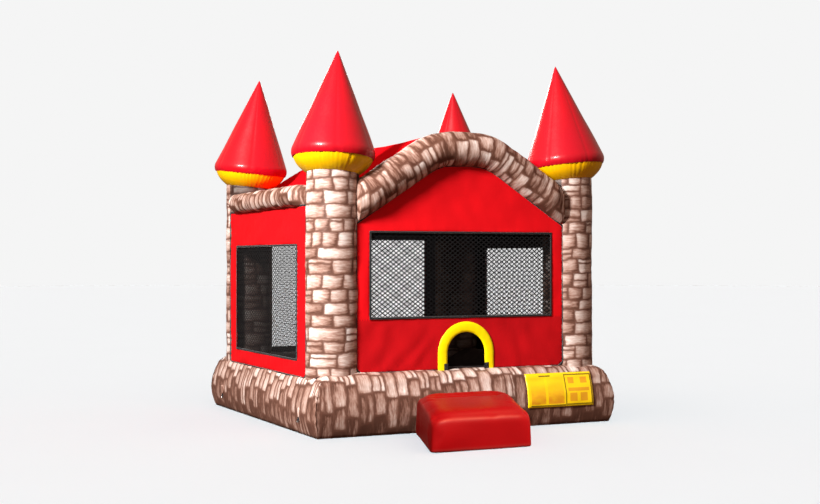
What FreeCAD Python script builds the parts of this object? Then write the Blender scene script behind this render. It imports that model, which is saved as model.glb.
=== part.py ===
"""Castle bounce house: four stone-print towers with red cones on an inflated base, gabled arches, red vinyl
walls with netting windows, an entrance step, ground anchors and the blower that keeps it up.

Millimetres, +Z up, +Y to the back, origin on the ground under the centre of the base."""

import FreeCAD, Part
import math
import os

V = FreeCAD.Vector
OUT = "parts"

# ---- driving dimensions --------------------------------------------------------------------------
GAP = 1.0  # clearance between neighbouring pieces that don't move
SKIN = 3.0  # vinyl of the air chambers
SHEET = 3.0  # vinyl of walls and roof

TOWER_X, TOWER_Y = 1630.0, 1560.0  # tower axes
TOWER_R = 310.0
TOWER_TOP = 3070.0
LEAN = 6.0  # degrees that each cap leans to the centre
TOWER_VENT, VENT_R, EAVE_VENT = 150.0, 45.0, 35.0  # air passages between chambers
STEP_VENT, VENT_Z = 70.0, 250.0

# outline of the base tube, (distance from the centre, height); each arc is start, middle, end
BASE_ARCS = (
    ((1980, 0), (2035, 320), (1975, 560)),
    ((1975, 560), (1920, 665), (1800, 718)),
    ((1800, 718), (1640, 738), (1480, 672)),
    ((1480, 672), (1380, 575), (1340, 440)),
)
BASE_INNER = 1340.0
FLOOR_HALF, FLOOR_TOP = 1336.0, 500.0
BAFFLES = 9

COLLAR_H, COLLAR_R = 185.0, 480.0
CAP_R, CAP_TOP = 492.0, 1485.0  # cone, measured from the tower's top

ARCH_R, ARCH_Y, ARCH_Z = 215.0, 1740.0, 3400.0
ARCH_DROP = 60.0  # the back arch lies this much lower, under the roof sheet
ARCH_CORNER, ARCH_END = 368.0, 1470.0
SLOPE = 0.649  # rise over run of the gable
EAVE_R, EAVE_X, EAVE_Z, EAVE_END = 130.0, 1920.0, 2815.0, 1400.0

FRONT_Y, SIDE_X = 1789.0, 1930.0  # wall planes
FRONT_HALF, SIDE_HALF = 1418.0, 1475.0
SHOULDER_Z, GABLE_HALF, GABLE_Z = 2495.0, 325.0, 3190.0
FRONT_WINDOW = (1240.0, 1356.0, 2381.0)  # half width, bottom, top
BACK_WINDOW = (1220.0, 800.0, 2356.0)
SIDE_WINDOW = (1170.0, 850.0, 2228.0)
NET_LAP, NET_T = 25.0, 2.0
BINDING_W, BINDING_T = 28.0, 2.0

DOOR_X, DOOR_R, TRIM_R, DOOR_SPRING = 35.0, 257.0, 384.0, 912.0
DOOR_CUT_HALF, DOOR_CUT_TOP = 264.0, 1184.0
TRIM_T = 6.0

ROOF_HALF, ROOF_Z, VALLEY_X = 400.0, 3570.0, 1500.0
ROOF_FRONT, ROOF_BACK = -1600.0, 1760.0

STEP_X0, STEP_X1, STEP_FRONT, STEP_BACK = -790.0, 500.0, -3560.0, -2037.0
STEP_H, STEP_LOW, STEP_SKEW, STEP_ROUND = 500.0, 410.0, 550.0, 100.0
SIGN_X0, SIGN_X1, SIGN_Z0, SIGN_Z1 = 760.0, 1710.0, 225.0, 640.0

ANCHOR_Y, ANCHOR_Z = 1500.0, 170.0
RING_R, RING_WIRE = 30.0, 4.0
WEBBING_W, LOOP_R, WEBBING_T = 48.0, 4.8, 3.0
STRAP_LEG = 95.0

SLEEVE_X, SLEEVE_Z, SLEEVE_R, SLEEVE_END = 900.0, 165.0, 130.0, 2740.0
STRAP_Y0, STRAP_Y1 = 2680.0, 2718.0

ZIP_Z0, ZIP_Z1, ZIP_W = 900.0, 1500.0, 40.0

BLOWER_Y, BLOWER_Z, SCROLL_R, BLOWER_HALF = 3030.0, 235.0, 200.0, 130.0
DUCT_Y, DUCT_TOP, FOOT_H, HEEL_Y = 2765.0, 295.0, 35.0, 3180.0
WALL = 4.0
INLET_R, MOTOR_R, SHAFT_R = 100.0, 72.0, 7.0
WHEEL_R, BLADES = 150.0, 24


# ---- small helpers -------------------------------------------------------------------------------
def box(x0, x1, y0, y1, z0, z1):
    return Part.makeBox(x1 - x0, y1 - y0, z1 - z0, V(x0, y0, z0))


def rod(r, start, axis, length):
    return Part.makeCylinder(r, length, V(*start), V(*axis))


def slab(points, y0, y1):
    """A flat plate from an outline in X and Z."""
    corners = [V(x, y0, z) for x, z in points]
    return Part.Face(Part.makePolygon(corners + corners[:1])).extrude(V(0, y1 - y0, 0))


def fuse(*shapes):
    whole = shapes[0]
    for s in shapes[1:]:
        whole = whole.fuse(s)
    return whole.removeSplitter()


def cut_all(shape, tools):
    for t in tools:
        shape = shape.cut(t)
    return shape


def turned(shape, angle, centre=V(0, 0, 0), axis=V(0, 0, 1)):
    copy = shape.copy()
    copy.rotate(centre, axis, angle)
    return copy


def arc_edge(a, b, c):
    return Part.Arc(V(*a), V(*b), V(*c)).toShape()


def revolved(edges):
    return Part.Face(Part.Wire(edges)).revolve(V(0, 0, 0), V(0, 0, 1), 360)


def save(name, *solids):
    shape = solids[0] if len(solids) == 1 else Part.makeCompound(list(solids))
    shape.exportStep(os.path.join(OUT, name + ".step"))
    bad = [i for i, s in enumerate(shape.Solids) if not s.isValid() or s.Volume <= 0]
    print(f"{name}: {len(shape.Solids)} solids, {shape.Volume / 1e6:.3f} l{' INVALID' if bad else ''}")


# ---- base ----------------------------------------------------------------------------------------
def base_prism(inset):
    """The front base tube, full length and unmitred, its outline drawn in by inset on every side."""
    outs = [p[0] for arc in BASE_ARCS for p in arc] + [BASE_INNER]
    tops = [p[1] for arc in BASE_ARCS for p in arc]
    mid_out, half_out = (max(outs) + min(outs)) / 2, (max(outs) - min(outs)) / 2
    mid_z = half_z = max(tops) / 2

    def place(out, z):
        y = mid_out + (out - mid_out) * (half_out - inset) / half_out
        return (-2200.0, -y, mid_z + (z - mid_z) * (half_z - inset) / half_z)

    edges = [arc_edge(*(place(*p) for p in arc)) for arc in BASE_ARCS]
    first, last = place(*BASE_ARCS[0][0]), place(*BASE_ARCS[-1][2])
    corner = place(BASE_INNER, 0)
    edges += [Part.makeLine(V(*last), V(*corner)), Part.makeLine(V(*corner), V(*first))]
    return Part.Face(Part.Wire(edges)).extrude(V(4400, 0, 0))


def mitre_wedge(gap):
    """Keeps the front quarter of the footprint, between the two diagonals."""
    corners = [V(0, -gap, -50), V(-2400, -2400 - gap, -50), V(2400, -2400 - gap, -50)]
    return Part.Face(Part.makePolygon(corners + corners[:1])).extrude(V(0, 0, 1000))


def base_tube(along, out):
    """One tube, open at its mitres, with its vents to the floor and to the towers at (+-along, -out)."""
    outer = base_prism(0).common(mitre_wedge(GAP / 2))
    vents = [rod(TOWER_VENT, (s * along, -out, 560), (0, 0, 1), 300) for s in (-1, 1)]
    return cut_all(outer.cut(base_prism(SKIN)), vents + [floor_vent()])


def floor_vent():
    return rod(VENT_R, (0, -BASE_INNER - 60, VENT_Z), (0, 1, 0), 120)


def sleeve_inlet():
    """The hole that the inflation sleeve feeds."""
    return rod(SLEEVE_R - SKIN, (SLEEVE_X, FRONT_Y + 60, SLEEVE_Z), (0, 1, 0), 300)


def step_vent():
    return rod(STEP_VENT, ((STEP_X0 + STEP_X1) / 2, -2100, VENT_Z + 50), (0, 1, 0), 160)


def base_blanks(clearance):
    """All four base tubes as plain solids, for trimming what stands on them."""
    front = base_prism(-clearance).common(mitre_wedge(0))
    return [turned(front, a) for a in (0, 90, 180, 270)]


def floor_mattress():
    outer = box(-FLOOR_HALF, FLOOR_HALF, -FLOOR_HALF, FLOOR_HALF, 0, FLOOR_TOP)
    h = FLOOR_HALF - SKIN
    vents = [turned(floor_vent(), a) for a in (0, 90, 180, 270)]
    return cut_all(outer, [box(-h, h, -h, h, SKIN, FLOOR_TOP - SKIN)] + vents)


def floor_baffles():
    pitch = 2 * FLOOR_HALF / (BAFFLES + 1)
    xs = [-FLOOR_HALF + pitch * (i + 1) for i in range(BAFFLES)]
    return [box(x - 1.5, x + 1.5, -1200, 1200, SKIN, FLOOR_TOP - SKIN) for x in xs]


# ---- towers and caps -----------------------------------------------------------------------------
def lean(shape, cx, cy):
    """Tilts a cap drawn at the origin towards the house's centre and stands it on its tower."""
    tilted = turned(shape, LEAN, V(0, 0, 0), V(cy, -cx, 0))
    tilted.translate(V(cx, cy, TOWER_TOP))
    return tilted


def tower_blank(cx, cy, clearance):
    return rod(TOWER_R + clearance, (cx, cy, 300), (0, 0, 1), TOWER_TOP - 300 + 60)


def arch_vent(sx, sy):
    """Where a tower feeds its arch."""
    x = TOWER_X - 286
    z = slope_z(x) - (ARCH_DROP if sy > 0 else 0)
    return rod(VENT_R, (sx * (x - 90), sy * (TOWER_Y + 120), z), (sx, 0, 0), 200)


def eave_vent(sx, sy):
    """Where a tower feeds its eave tube."""
    return rod(EAVE_VENT, (sx * (EAVE_X - 70), sy * 1250, EAVE_Z), (0, sy, 0), 200)


def tower(cx, cy, base):
    tube = rod(TOWER_R, (cx, cy, 350), (0, 0, 1), TOWER_TOP - 200)
    tube = tube.cut(rod(TOWER_R - SKIN, (cx, cy, 300), (0, 0, 1), TOWER_TOP))
    above = lean(box(-800, 800, -800, 800, -GAP / 2, 1500), cx, cy)
    floor = box(-FLOOR_HALF - 3, FLOOR_HALF + 3, -FLOOR_HALF - 3, FLOOR_HALF + 3, 0, FLOOR_TOP + 1)
    sides = math.copysign(1, cx), math.copysign(1, cy)
    return cut_all(tube, base + [floor, above, arch_vent(*sides), eave_vent(*sides)])


def collar(inset):
    """The yellow flared ring under a cone, filled; inset gives its inside."""
    foot, lip = (TOWER_R - inset, 0, 0), (COLLAR_R - inset, 0, COLLAR_H)
    return revolved([
        Part.makeLine(V(0, 0, 0), V(*foot)),
        arc_edge(foot, (440 - inset, 0, 85), lip),
        Part.makeLine(V(*lip), V(0, 0, COLLAR_H)),
        Part.makeLine(V(0, 0, COLLAR_H), V(0, 0, 0)),
    ])


def cone(inset):
    """The red cone with its rounded shoulder, filled; inset gives its inside."""
    z0 = COLLAR_H + GAP / 2
    seam, high = (COLLAR_R - inset, 0, z0), (468 - inset, 0, 315)
    tip = (8 - inset / 2, 0, CAP_TOP - 3 * inset)
    return revolved([
        Part.makeLine(V(0, 0, z0), V(*seam)),
        arc_edge(seam, (CAP_R - inset, 0, 240), high),
        Part.makeLine(V(*high), V(*tip)),
        Part.makeLine(V(*tip), V(0, 0, tip[2] + 6)),
        Part.makeLine(V(0, 0, tip[2] + 6), V(0, 0, z0)),
    ])


# ---- arches, eaves and roof ----------------------------------------------------------------------
def slope_z(x, top=ARCH_Z, corner=ARCH_CORNER):
    return top - max(0.0, abs(x) - corner) * SLOPE


def arch_path(drop):
    xs = (-ARCH_END, -560, -190, 190, 560, ARCH_END)
    return [V(x, 0, slope_z(x) - drop) for x in xs]


def arch_segments(radius, y, drop, gap):
    """Straight pieces of one arch, mitred where they meet."""
    path = arch_path(drop)
    pieces = []
    for i in range(len(path) - 1):
        a, b = path[i], path[i + 1]
        along = (b - a).normalize()
        piece = rod(radius, (a - along * 400 + V(0, y, 0)), along, (b - a).Length + 800)
        for end, other, sign in ((i, i - 1, -1), (i + 1, i + 2, 1)):
            p = path[end]
            normal = V(sign, 0, 0)
            if 0 <= other < len(path):
                normal = (along * sign + (path[other] - p).normalize()).normalize()
            blade = Part.makeBox(2000, 2000, 2000, V(-1000, -1000, -gap / 2))
            blade.Placement = FreeCAD.Placement(p + V(0, y, 0), FreeCAD.Rotation(V(0, 0, 1), normal))
            piece = piece.cut(blade)
        pieces.append(piece)
    return pieces


def arch(y, drop, towers):
    outer = arch_segments(ARCH_R, y, drop, GAP)
    inner = arch_segments(ARCH_R - SKIN, y, drop, 0)
    return [cut_all(o.cut(i), towers) for o, i in zip(outer, inner)]


def eave(side, towers, towers_wide):
    x = side * EAVE_X
    outer = cut_all(rod(EAVE_R, (x, -EAVE_END, EAVE_Z), (0, 1, 0), 2 * EAVE_END), towers)
    inner = rod(EAVE_R - SKIN, (x, -EAVE_END + SKIN, EAVE_Z), (0, 1, 0), 2 * (EAVE_END - SKIN))
    vents = [eave_vent(side, end) for end in (-1, 1)]
    return cut_all(outer, [cut_all(inner, towers_wide)] + vents)


def roof(trims):
    """Flat ridge, two slopes and two shallow valleys that end on the eave tubes, sewn edge to edge."""
    valley_z = slope_z(VALLEY_X, ROOF_Z, ROOF_HALF)
    profile = [(0, ROOF_Z), (ROOF_HALF, ROOF_Z), (VALLEY_X, valley_z), (EAVE_X, EAVE_Z)]
    pieces = []
    for s in (-1, 1):
        for (xa, za), (xb, zb) in zip(profile, profile[1:]):
            t = SHEET * math.hypot(xb - xa, zb - za) / (xb - xa)
            xa = xa + GAP / 10
            outline = [(s * xa, za), (s * xb, zb), (s * xb, zb + t), (s * xa, za + t)]
            pieces.append(slab(outline, ROOF_FRONT, ROOF_BACK))
    return [cut_all(p, trims) for p in pieces]


# ---- walls ---------------------------------------------------------------------------------------
def gable_top(z0):
    """Outline of a gable wall above z0."""
    shoulder = FRONT_HALF
    return [(-shoulder, z0), (shoulder, z0), (shoulder, SHOULDER_Z), (GABLE_HALF, GABLE_Z),
            (-GABLE_HALF, GABLE_Z), (-shoulder, SHOULDER_Z)]


def rect(x0, x1, z0, z1):
    return [(x0, z0), (x1, z0), (x1, z1), (x0, z1)]


def sewn_panels(outlines, plane, trims):
    """Vinyl panels on the plane y = -plane, trimmed to the tubes that they are sewn to."""
    return [cut_all(slab(o, -plane - SHEET / 2, -plane + SHEET / 2), trims) for o in outlines]


def front_wall(trims):
    half, low, high = FRONT_WINDOW
    left, right = DOOR_X - DOOR_CUT_HALF, DOOR_X + DOOR_CUT_HALF
    return sewn_panels([
        gable_top(high),
        rect(-FRONT_HALF, -half, 600, high),
        rect(half, FRONT_HALF, 600, high),
        rect(-half, left, 600, low),
        rect(right, half, 600, low),
        rect(left, right, DOOR_CUT_TOP, low),
    ], FRONT_Y, trims)


def back_wall(trims):
    half, low, high = BACK_WINDOW
    panels = sewn_panels([
        gable_top(high),
        rect(-FRONT_HALF, -half, 600, high),
        rect(half, FRONT_HALF, 600, high),
        rect(-half, half, 600, low),
    ], FRONT_Y, trims)
    return [turned(p, 180) for p in panels]


def side_wall(trims, angle):
    half, low, high = SIDE_WINDOW
    panels = sewn_panels([
        rect(-SIDE_HALF, SIDE_HALF, high, EAVE_Z - 40),
        rect(-SIDE_HALF, -half, 550, high),
        rect(half, SIDE_HALF, 550, high),
        rect(-half, half, 550, low),
    ], SIDE_X, trims)
    return [turned(p, angle) for p in panels]


def net(window, plane, angle):
    """Netting sewn behind the wall, lapping its window all round."""
    half, low, high = window
    y = -plane + SHEET / 2 + 0.5
    sheet = box(-half - NET_LAP, half + NET_LAP, y, y + NET_T, low - NET_LAP, high + NET_LAP)
    return turned(sheet, angle)


def binding(window, plane, angle):
    """Black tape round a window, on the outside."""
    half, low, high = window
    y1 = -plane - SHEET / 2 - 0.5
    y0 = y1 - BINDING_T
    w = BINDING_W
    strips = [
        box(-half - w, half + w, y0, y1, high, high + w),
        box(-half - w, half + w, y0, y1, low - w, low),
        box(-half - w, -half, y0, y1, low, high),
        box(half, half + w, y0, y1, low, high),
    ]
    return [turned(s, angle) for s in strips]


# ---- entrance ------------------------------------------------------------------------------------
def entrance_trim(base):
    """Yellow band round the entrance."""
    y0, y1 = -FRONT_Y - SHEET / 2 - GAP - TRIM_T, -FRONT_Y - SHEET / 2 - GAP

    def arch_plate(r, a, b):
        head = rod(r, (DOOR_X, a, DOOR_SPRING), (0, 1, 0), b - a)
        return head.fuse(box(DOOR_X - r, DOOR_X + r, a, b, 600, DOOR_SPRING))

    band = arch_plate(TRIM_R, y0, y1).cut(arch_plate(DOOR_R, y0 - 5, y1 + 5))
    return cut_all(band.removeSplitter(), base)


def corner_patches(base):
    """Black patches over the trim's feet, where the entrance meets the base."""
    y0, y1 = -FRONT_Y - SHEET / 2 - 2 * GAP - TRIM_T - 3, -FRONT_Y - SHEET / 2 - 2 * GAP - TRIM_T
    xs = (DOOR_X - DOOR_R - 58, DOOR_X + DOOR_R + 2)
    return [cut_all(box(x, x + 56, y0, y1, 600, 800), base) for x in xs]


def step_body(inset):
    """Rounded block that lies askew: in front it is lower, and set over to the left by STEP_SKEW."""
    x0, x1, y0, y1 = STEP_X0 + inset, STEP_X1 - inset, STEP_FRONT + inset, STEP_BACK - inset
    plan = [V(x0 - STEP_SKEW, y0, inset), V(x1 - STEP_SKEW, y0, inset), V(x1, y1, inset), V(x0, y1, inset)]
    low, high = STEP_LOW - inset, STEP_H - inset
    side = [V(-3000, y0, inset), V(-3000, y1, inset), V(-3000, y1, high), V(-3000, y0, low)]
    block = Part.Face(Part.makePolygon(plan + plan[:1])).extrude(V(0, 0, STEP_H))
    body = block.common(Part.Face(Part.makePolygon(side + side[:1])).extrude(V(6000, 0, 0)))
    edges = [edge for edge in body.Edges if edge.BoundBox.ZMax > 1 + inset]
    return body.makeFillet(STEP_ROUND - inset, edges)


def entrance_step():
    return cut_all(step_body(0), [step_body(SKIN), step_vent()])


def rules_sign():
    """Yellow sign lying on the front base tube."""
    layer = base_prism(-3.5).cut(base_prism(-1.0))
    return layer.common(box(SIGN_X0, SIGN_X1, -2100, -1880, SIGN_Z0, SIGN_Z1))


# ---- ground anchors ------------------------------------------------------------------------------
def anchor_ring():
    """Steel D-ring, its bar along Y through the origin, hanging down."""
    loop = Part.makeTorus(RING_R, RING_WIRE, V(0, 0, 0), V(1, 0, 0), 0, 360, 360)
    lower = loop.common(box(-20, 20, -60, 60, -60, 0))
    bar = rod(RING_WIRE, (0, -RING_R - RING_WIRE, 0), (0, 1, 0), 2 * (RING_R + RING_WIRE))
    return fuse(lower, bar)


def anchor_strap():
    """Webbing folded round the ring's bar; its doubled leg is sewn to the base above, which lies on -X."""
    loop = rod(LOOP_R + WEBBING_T, (0, -WEBBING_W / 2, 0), (0, 1, 0), WEBBING_W)
    x0 = -LOOP_R - WEBBING_T
    leg = box(x0, x0 + 2 * WEBBING_T, -WEBBING_W / 2, WEBBING_W / 2, 0, STRAP_LEG)
    whole = loop.fuse(leg).cut(rod(LOOP_R, (0, -WEBBING_W, 0), (0, 1, 0), 2 * WEBBING_W))
    return turned(whole, base_lean(), V(0, 0, 0), V(0, 1, 0))


def base_face(z):
    """How far out the base tube's side is at height z."""
    cut = base_prism(0).common(box(0, 10, -2200, -1700, z - 0.01, z + 0.01))
    return -cut.BoundBox.YMin


def base_lean():
    """Tilt, in degrees, of the base tube's side where the anchors are sewn."""
    rise = STRAP_LEG
    return math.degrees(math.atan2(base_face(ANCHOR_Z + rise) - base_face(ANCHOR_Z), rise))


def anchor_origin():
    return base_face(ANCHOR_Z) + LOOP_R + WEBBING_T + 2.0


def at_anchor(shape, sx, sy):
    copy = shape.copy() if sx > 0 else turned(shape, 180)
    copy.translate(V(sx * anchor_origin(), sy * ANCHOR_Y, ANCHOR_Z))
    return copy


# ---- air supply ----------------------------------------------------------------------------------
def inflation_sleeve(base):
    y0 = FRONT_Y
    tube = rod(SLEEVE_R, (SLEEVE_X, y0, SLEEVE_Z), (0, 1, 0), SLEEVE_END - y0)
    bore = rod(SLEEVE_R - SKIN, (SLEEVE_X, y0 - 10, SLEEVE_Z), (0, 1, 0), SLEEVE_END - y0 + 20)
    return max(cut_all(tube.cut(bore), base).Solids, key=lambda s: s.BoundBox.YMax)


def sleeve_strap():
    length = STRAP_Y1 - STRAP_Y0
    band = rod(SLEEVE_R + 4, (SLEEVE_X, STRAP_Y0, SLEEVE_Z), (0, 1, 0), length)
    return band.cut(rod(SLEEVE_R + 1, (SLEEVE_X, STRAP_Y0 - 5, SLEEVE_Z), (0, 1, 0), length + 10))


PIN_R, PIN_X, PIN_Z = 3.0, SLEEVE_X - 17, SLEEVE_Z + SLEEVE_R + 17


def buckle_frame():
    """Steel cam buckle: a plate with two cheeks that carry the lever's pin."""
    top = SLEEVE_Z + SLEEVE_R + 4.5
    plate = box(SLEEVE_X - 30, SLEEVE_X + 30, STRAP_Y0 - 2, STRAP_Y1 + 2, top, top + 3)
    ys = (STRAP_Y0 - 2, STRAP_Y1 - 1)
    cheeks = [box(SLEEVE_X - 28, SLEEVE_X - 4, y, y + 3, top + 3, top + 20) for y in ys]
    frame = fuse(plate, *cheeks)
    return frame.cut(rod(PIN_R + 0.05, (PIN_X, STRAP_Y0 - 10, PIN_Z), (0, 1, 0), 60))


def buckle_lever():
    y0, y1 = STRAP_Y0 + 2, STRAP_Y1 - 2
    handle = box(PIN_X, SLEEVE_X + 34, y0, y1, PIN_Z - 1.5, PIN_Z + 2)
    cam = rod(6, (PIN_X, y0, PIN_Z), (0, 1, 0), y1 - y0)
    pin = rod(PIN_R, (PIN_X, STRAP_Y0 - 3, PIN_Z), (0, 1, 0), STRAP_Y1 - STRAP_Y0 + 6)
    return fuse(handle, cam, pin)


# ---- deflation zip, on the back of the back left tower -------------------------------------------
ZIP_X, ZIP_Y = -TOWER_X, TOWER_Y + TOWER_R + GAP
COIL_W, COIL_T = 8.0, 3.0
SLIDER_W, SLIDER_H = 18.0, 26.0


def zipper_tape():
    tape = box(ZIP_X - ZIP_W / 2, ZIP_X + ZIP_W / 2, ZIP_Y, ZIP_Y + 2, ZIP_Z0, ZIP_Z1)
    y0 = ZIP_Y + 2
    coil = box(ZIP_X - COIL_W / 2, ZIP_X + COIL_W / 2, y0, y0 + COIL_T, ZIP_Z0 + 10, ZIP_Z1 - 10)
    stops = [box(ZIP_X - 6, ZIP_X + 6, y0, y0 + 4, z, z + 6) for z in (ZIP_Z0 + 2, ZIP_Z1 - 8)]
    return fuse(tape, coil, *stops)


SLIDER_Z = ZIP_Z0 + 10
PULL_Y, PULL_Z, PULL_PIN_R = ZIP_Y + 14.0, SLIDER_Z + 18, 1.7


def zipper_slider():
    y0 = ZIP_Y + 2.5
    top = SLIDER_Z + SLIDER_H
    body = box(ZIP_X - SLIDER_W / 2, ZIP_X + SLIDER_W / 2, y0, y0 + 6, SLIDER_Z, top)
    groove = box(ZIP_X - COIL_W / 2 - 0.5, ZIP_X + COIL_W / 2 + 0.5, y0 - 1, y0 + 3.2, 0, 2000)
    bail = box(ZIP_X - 2, ZIP_X + 2, y0 + 6, PULL_Y + 5, SLIDER_Z + 10, top)
    return fuse(body.cut(groove), bail).cut(pull_pin(PULL_PIN_R + 0.05))


def pull_pin(r):
    return rod(r, (ZIP_X - 7, PULL_Y, PULL_Z), (1, 0, 0), 14)


def zipper_pull():
    """Tab that hangs from the slider's bail by its own cross pin."""
    y0, y1 = PULL_Y - 1.2, PULL_Y + 1.2
    tab = box(ZIP_X - 7, ZIP_X + 7, y0, y1, PULL_Z - 58, PULL_Z - 12)
    arms = [box(x, x + 3, y0, y1, PULL_Z - 14, PULL_Z + 1.5) for x in (ZIP_X - 7, ZIP_X + 4)]
    return fuse(pull_pin(PULL_PIN_R), tab, *arms)


# ---- blower --------------------------------------------------------------------------------------
def blower_blank(inset, x0, x1):
    """Snail shell with its duct and flat heel, filled, from x0 to x1."""
    r, d = SCROLL_R - inset, x1 - x0
    scroll = rod(r, (x0, BLOWER_Y, BLOWER_Z), (1, 0, 0), d)
    duct = box(x0, x1, DUCT_Y - (inset and 20), BLOWER_Y, FOOT_H + inset, DUCT_TOP - inset)
    heel = box(x0, x1, BLOWER_Y - 1, HEEL_Y - inset, FOOT_H + inset, FOOT_H + 60 - inset)
    return fuse(scroll, duct, heel)


def blower_half(side):
    x0, x1 = (SLEEVE_X - BLOWER_HALF, SLEEVE_X) if side < 0 else (SLEEVE_X, SLEEVE_X + BLOWER_HALF)
    room = BLOWER_HALF - WALL
    shell = blower_blank(0, x0, x1).cut(blower_blank(WALL, SLEEVE_X - room, SLEEVE_X + room))
    hole = INLET_R if side < 0 else MOTOR_R + 1
    outside = x0 - 5 if side < 0 else x1 - WALL - 5
    shell = shell.cut(rod(hole, (outside, BLOWER_Y, BLOWER_Z), (1, 0, 0), WALL + 10))
    gap = box(SLEEVE_X - GAP / 4, SLEEVE_X + GAP / 4, 2600, 3400, 0, 600)
    holes = [rod(2.6, (SLEEVE_X - 40, y, z), (1, 0, 0), 80) for y, z in screw_spots()]
    bosses = [rod(8, (x0 if side > 0 else x1 - 20, y, z), (1, 0, 0), 20) for y, z in screw_spots()]
    return cut_all(fuse(shell, *bosses), [gap] + holes)


def screw_spots():
    """Flange screws, spaced round the shell's rim."""
    r = SCROLL_R + 6
    spots = [(BLOWER_Y + r * math.cos(math.radians(a)), BLOWER_Z + r * math.sin(math.radians(a)))
             for a in (-20, 15, 50, 125)]
    return spots + [(DUCT_Y + 30, DUCT_TOP + 6)]


def housing_screws():
    """Pan-head screws through the two halves' bosses."""
    made = []
    for y, z in screw_spots():
        shank = rod(2.4, (SLEEVE_X - 20.5, y, z), (1, 0, 0), 36)
        made.append(fuse(shank, rod(4.5, (SLEEVE_X - 23.5, y, z), (1, 0, 0), 3)))
    return made


def outlet_nozzle():
    """Square flange on the duct's mouth and the round spigot that the sleeve is strapped to."""
    r = SLEEVE_R - SKIN - 1
    flange = box(SLEEVE_X - BLOWER_HALF, SLEEVE_X + BLOWER_HALF, DUCT_Y - 5, DUCT_Y - 1, FOOT_H, DUCT_TOP)
    spigot = rod(r, (SLEEVE_X, 2660, SLEEVE_Z), (0, 1, 0), DUCT_Y - 1 - 2660)
    return fuse(flange, spigot).cut(rod(r - WALL, (SLEEVE_X, 2600, SLEEVE_Z), (0, 1, 0), 300))


def inlet_grille():
    """Rings and spokes over the air inlet."""
    x = SLEEVE_X - BLOWER_HALF - 6
    at = (x, BLOWER_Y, BLOWER_Z)
    rings = [rod(r + 4, at, (1, 0, 0), 5.5).cut(rod(r, at, (1, 0, 0), 5.5)) for r in (25, 45, 65, 85)]
    rim = rod(INLET_R + 14, at, (1, 0, 0), 5.5).cut(rod(INLET_R - 4, at, (1, 0, 0), 5.5))
    hub = rod(12, at, (1, 0, 0), 5.5)
    spokes = [turned(box(x, x + 5.5, BLOWER_Y + 10, BLOWER_Y + INLET_R, BLOWER_Z - 2.5, BLOWER_Z + 2.5), a,
                     V(*at), V(1, 0, 0)) for a in range(0, 360, 45)]
    return fuse(hub, rim, *rings, *spokes)


def impeller():
    """Squirrel-cage wheel: back plate, blades and rim ring on a hub and shaft along X."""
    x0, x1 = SLEEVE_X - 90, SLEEVE_X + 30
    plate = rod(WHEEL_R, (x1, BLOWER_Y, BLOWER_Z), (1, 0, 0), 4)
    ring = rod(WHEEL_R, (x0, BLOWER_Y, BLOWER_Z), (1, 0, 0), 6)
    ring = ring.cut(rod(WHEEL_R - 26, (x0 - 1, BLOWER_Y, BLOWER_Z), (1, 0, 0), 8))
    blade = box(x0 + 3, x1 + 2, BLOWER_Y + WHEEL_R - 25, BLOWER_Y + WHEEL_R - 2, BLOWER_Z - 1, BLOWER_Z + 1)
    blade = turned(blade, 25, V(0, BLOWER_Y + WHEEL_R - 14, BLOWER_Z), V(1, 0, 0))
    blades = [turned(blade, 360 / BLADES * i, V(0, BLOWER_Y, BLOWER_Z), V(1, 0, 0)) for i in range(BLADES)]
    hub = rod(22, (x1 - 26, BLOWER_Y, BLOWER_Z), (1, 0, 0), 34)
    shaft = rod(SHAFT_R, (x1 - 30, BLOWER_Y, BLOWER_Z), (1, 0, 0), 78)
    return fuse(plate, ring, hub, shaft, *blades)


def motor_casing():
    """Finned motor with its flange, bored for the wheel's shaft."""
    x0 = SLEEVE_X + 45
    body = rod(MOTOR_R, (x0, BLOWER_Y, BLOWER_Z), (1, 0, 0), 170)
    face = SLEEVE_X + BLOWER_HALF
    flange = rod(MOTOR_R + 22, (face + 0.5, BLOWER_Y, BLOWER_Z), (1, 0, 0), 5)
    fins = [rod(MOTOR_R + 8, (face + 16 + 12 * i, BLOWER_Y, BLOWER_Z), (1, 0, 0), 4) for i in range(6)]
    return fuse(body, flange, *fins).cut(rod(SHAFT_R + 0.05, (x0 - 5, BLOWER_Y, BLOWER_Z), (1, 0, 0), 60))


SWITCH = (SLEEVE_X + BLOWER_HALF + 0.5, 2865.0, 290.0)  # near low corner of the switch box
ROCKER_X, ROCKER_Z = SWITCH[0] + 36, SWITCH[2] + 25
AXLE_R = 1.5


def switch_box():
    x, y, z = SWITCH
    body = box(x, x + 42, y, y + 50, z, z + 50)
    well = box(x + 26, x + 60, y + 14, y + 36, z + 9, z + 41)
    return cut_all(body, [well, rocker_axle(AXLE_R + 0.05)])


def rocker_axle(r):
    return rod(r, (ROCKER_X, SWITCH[1] + 10, ROCKER_Z), (0, 1, 0), 30)


def rocker_switch():
    """Rocker on a cross axle, stored in the on position."""
    y = SWITCH[1]
    outline = [(-6, -8), (7, -13), (6.5, 0), (7, 13), (-6, 8)]
    corners = [V(ROCKER_X + a, y + 14.5, ROCKER_Z + b) for a, b in outline]
    body = Part.Face(Part.makePolygon(corners + corners[:1])).extrude(V(0, 21, 0))
    return fuse(turned(body, 8, V(ROCKER_X, y, ROCKER_Z), V(0, 1, 0)), rocker_axle(AXLE_R))


def cord_gland():
    x, y, z = SWITCH
    return rod(9, (x + 20, y + 25, z - 15), (0, 0, 1), 14.5)


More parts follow.
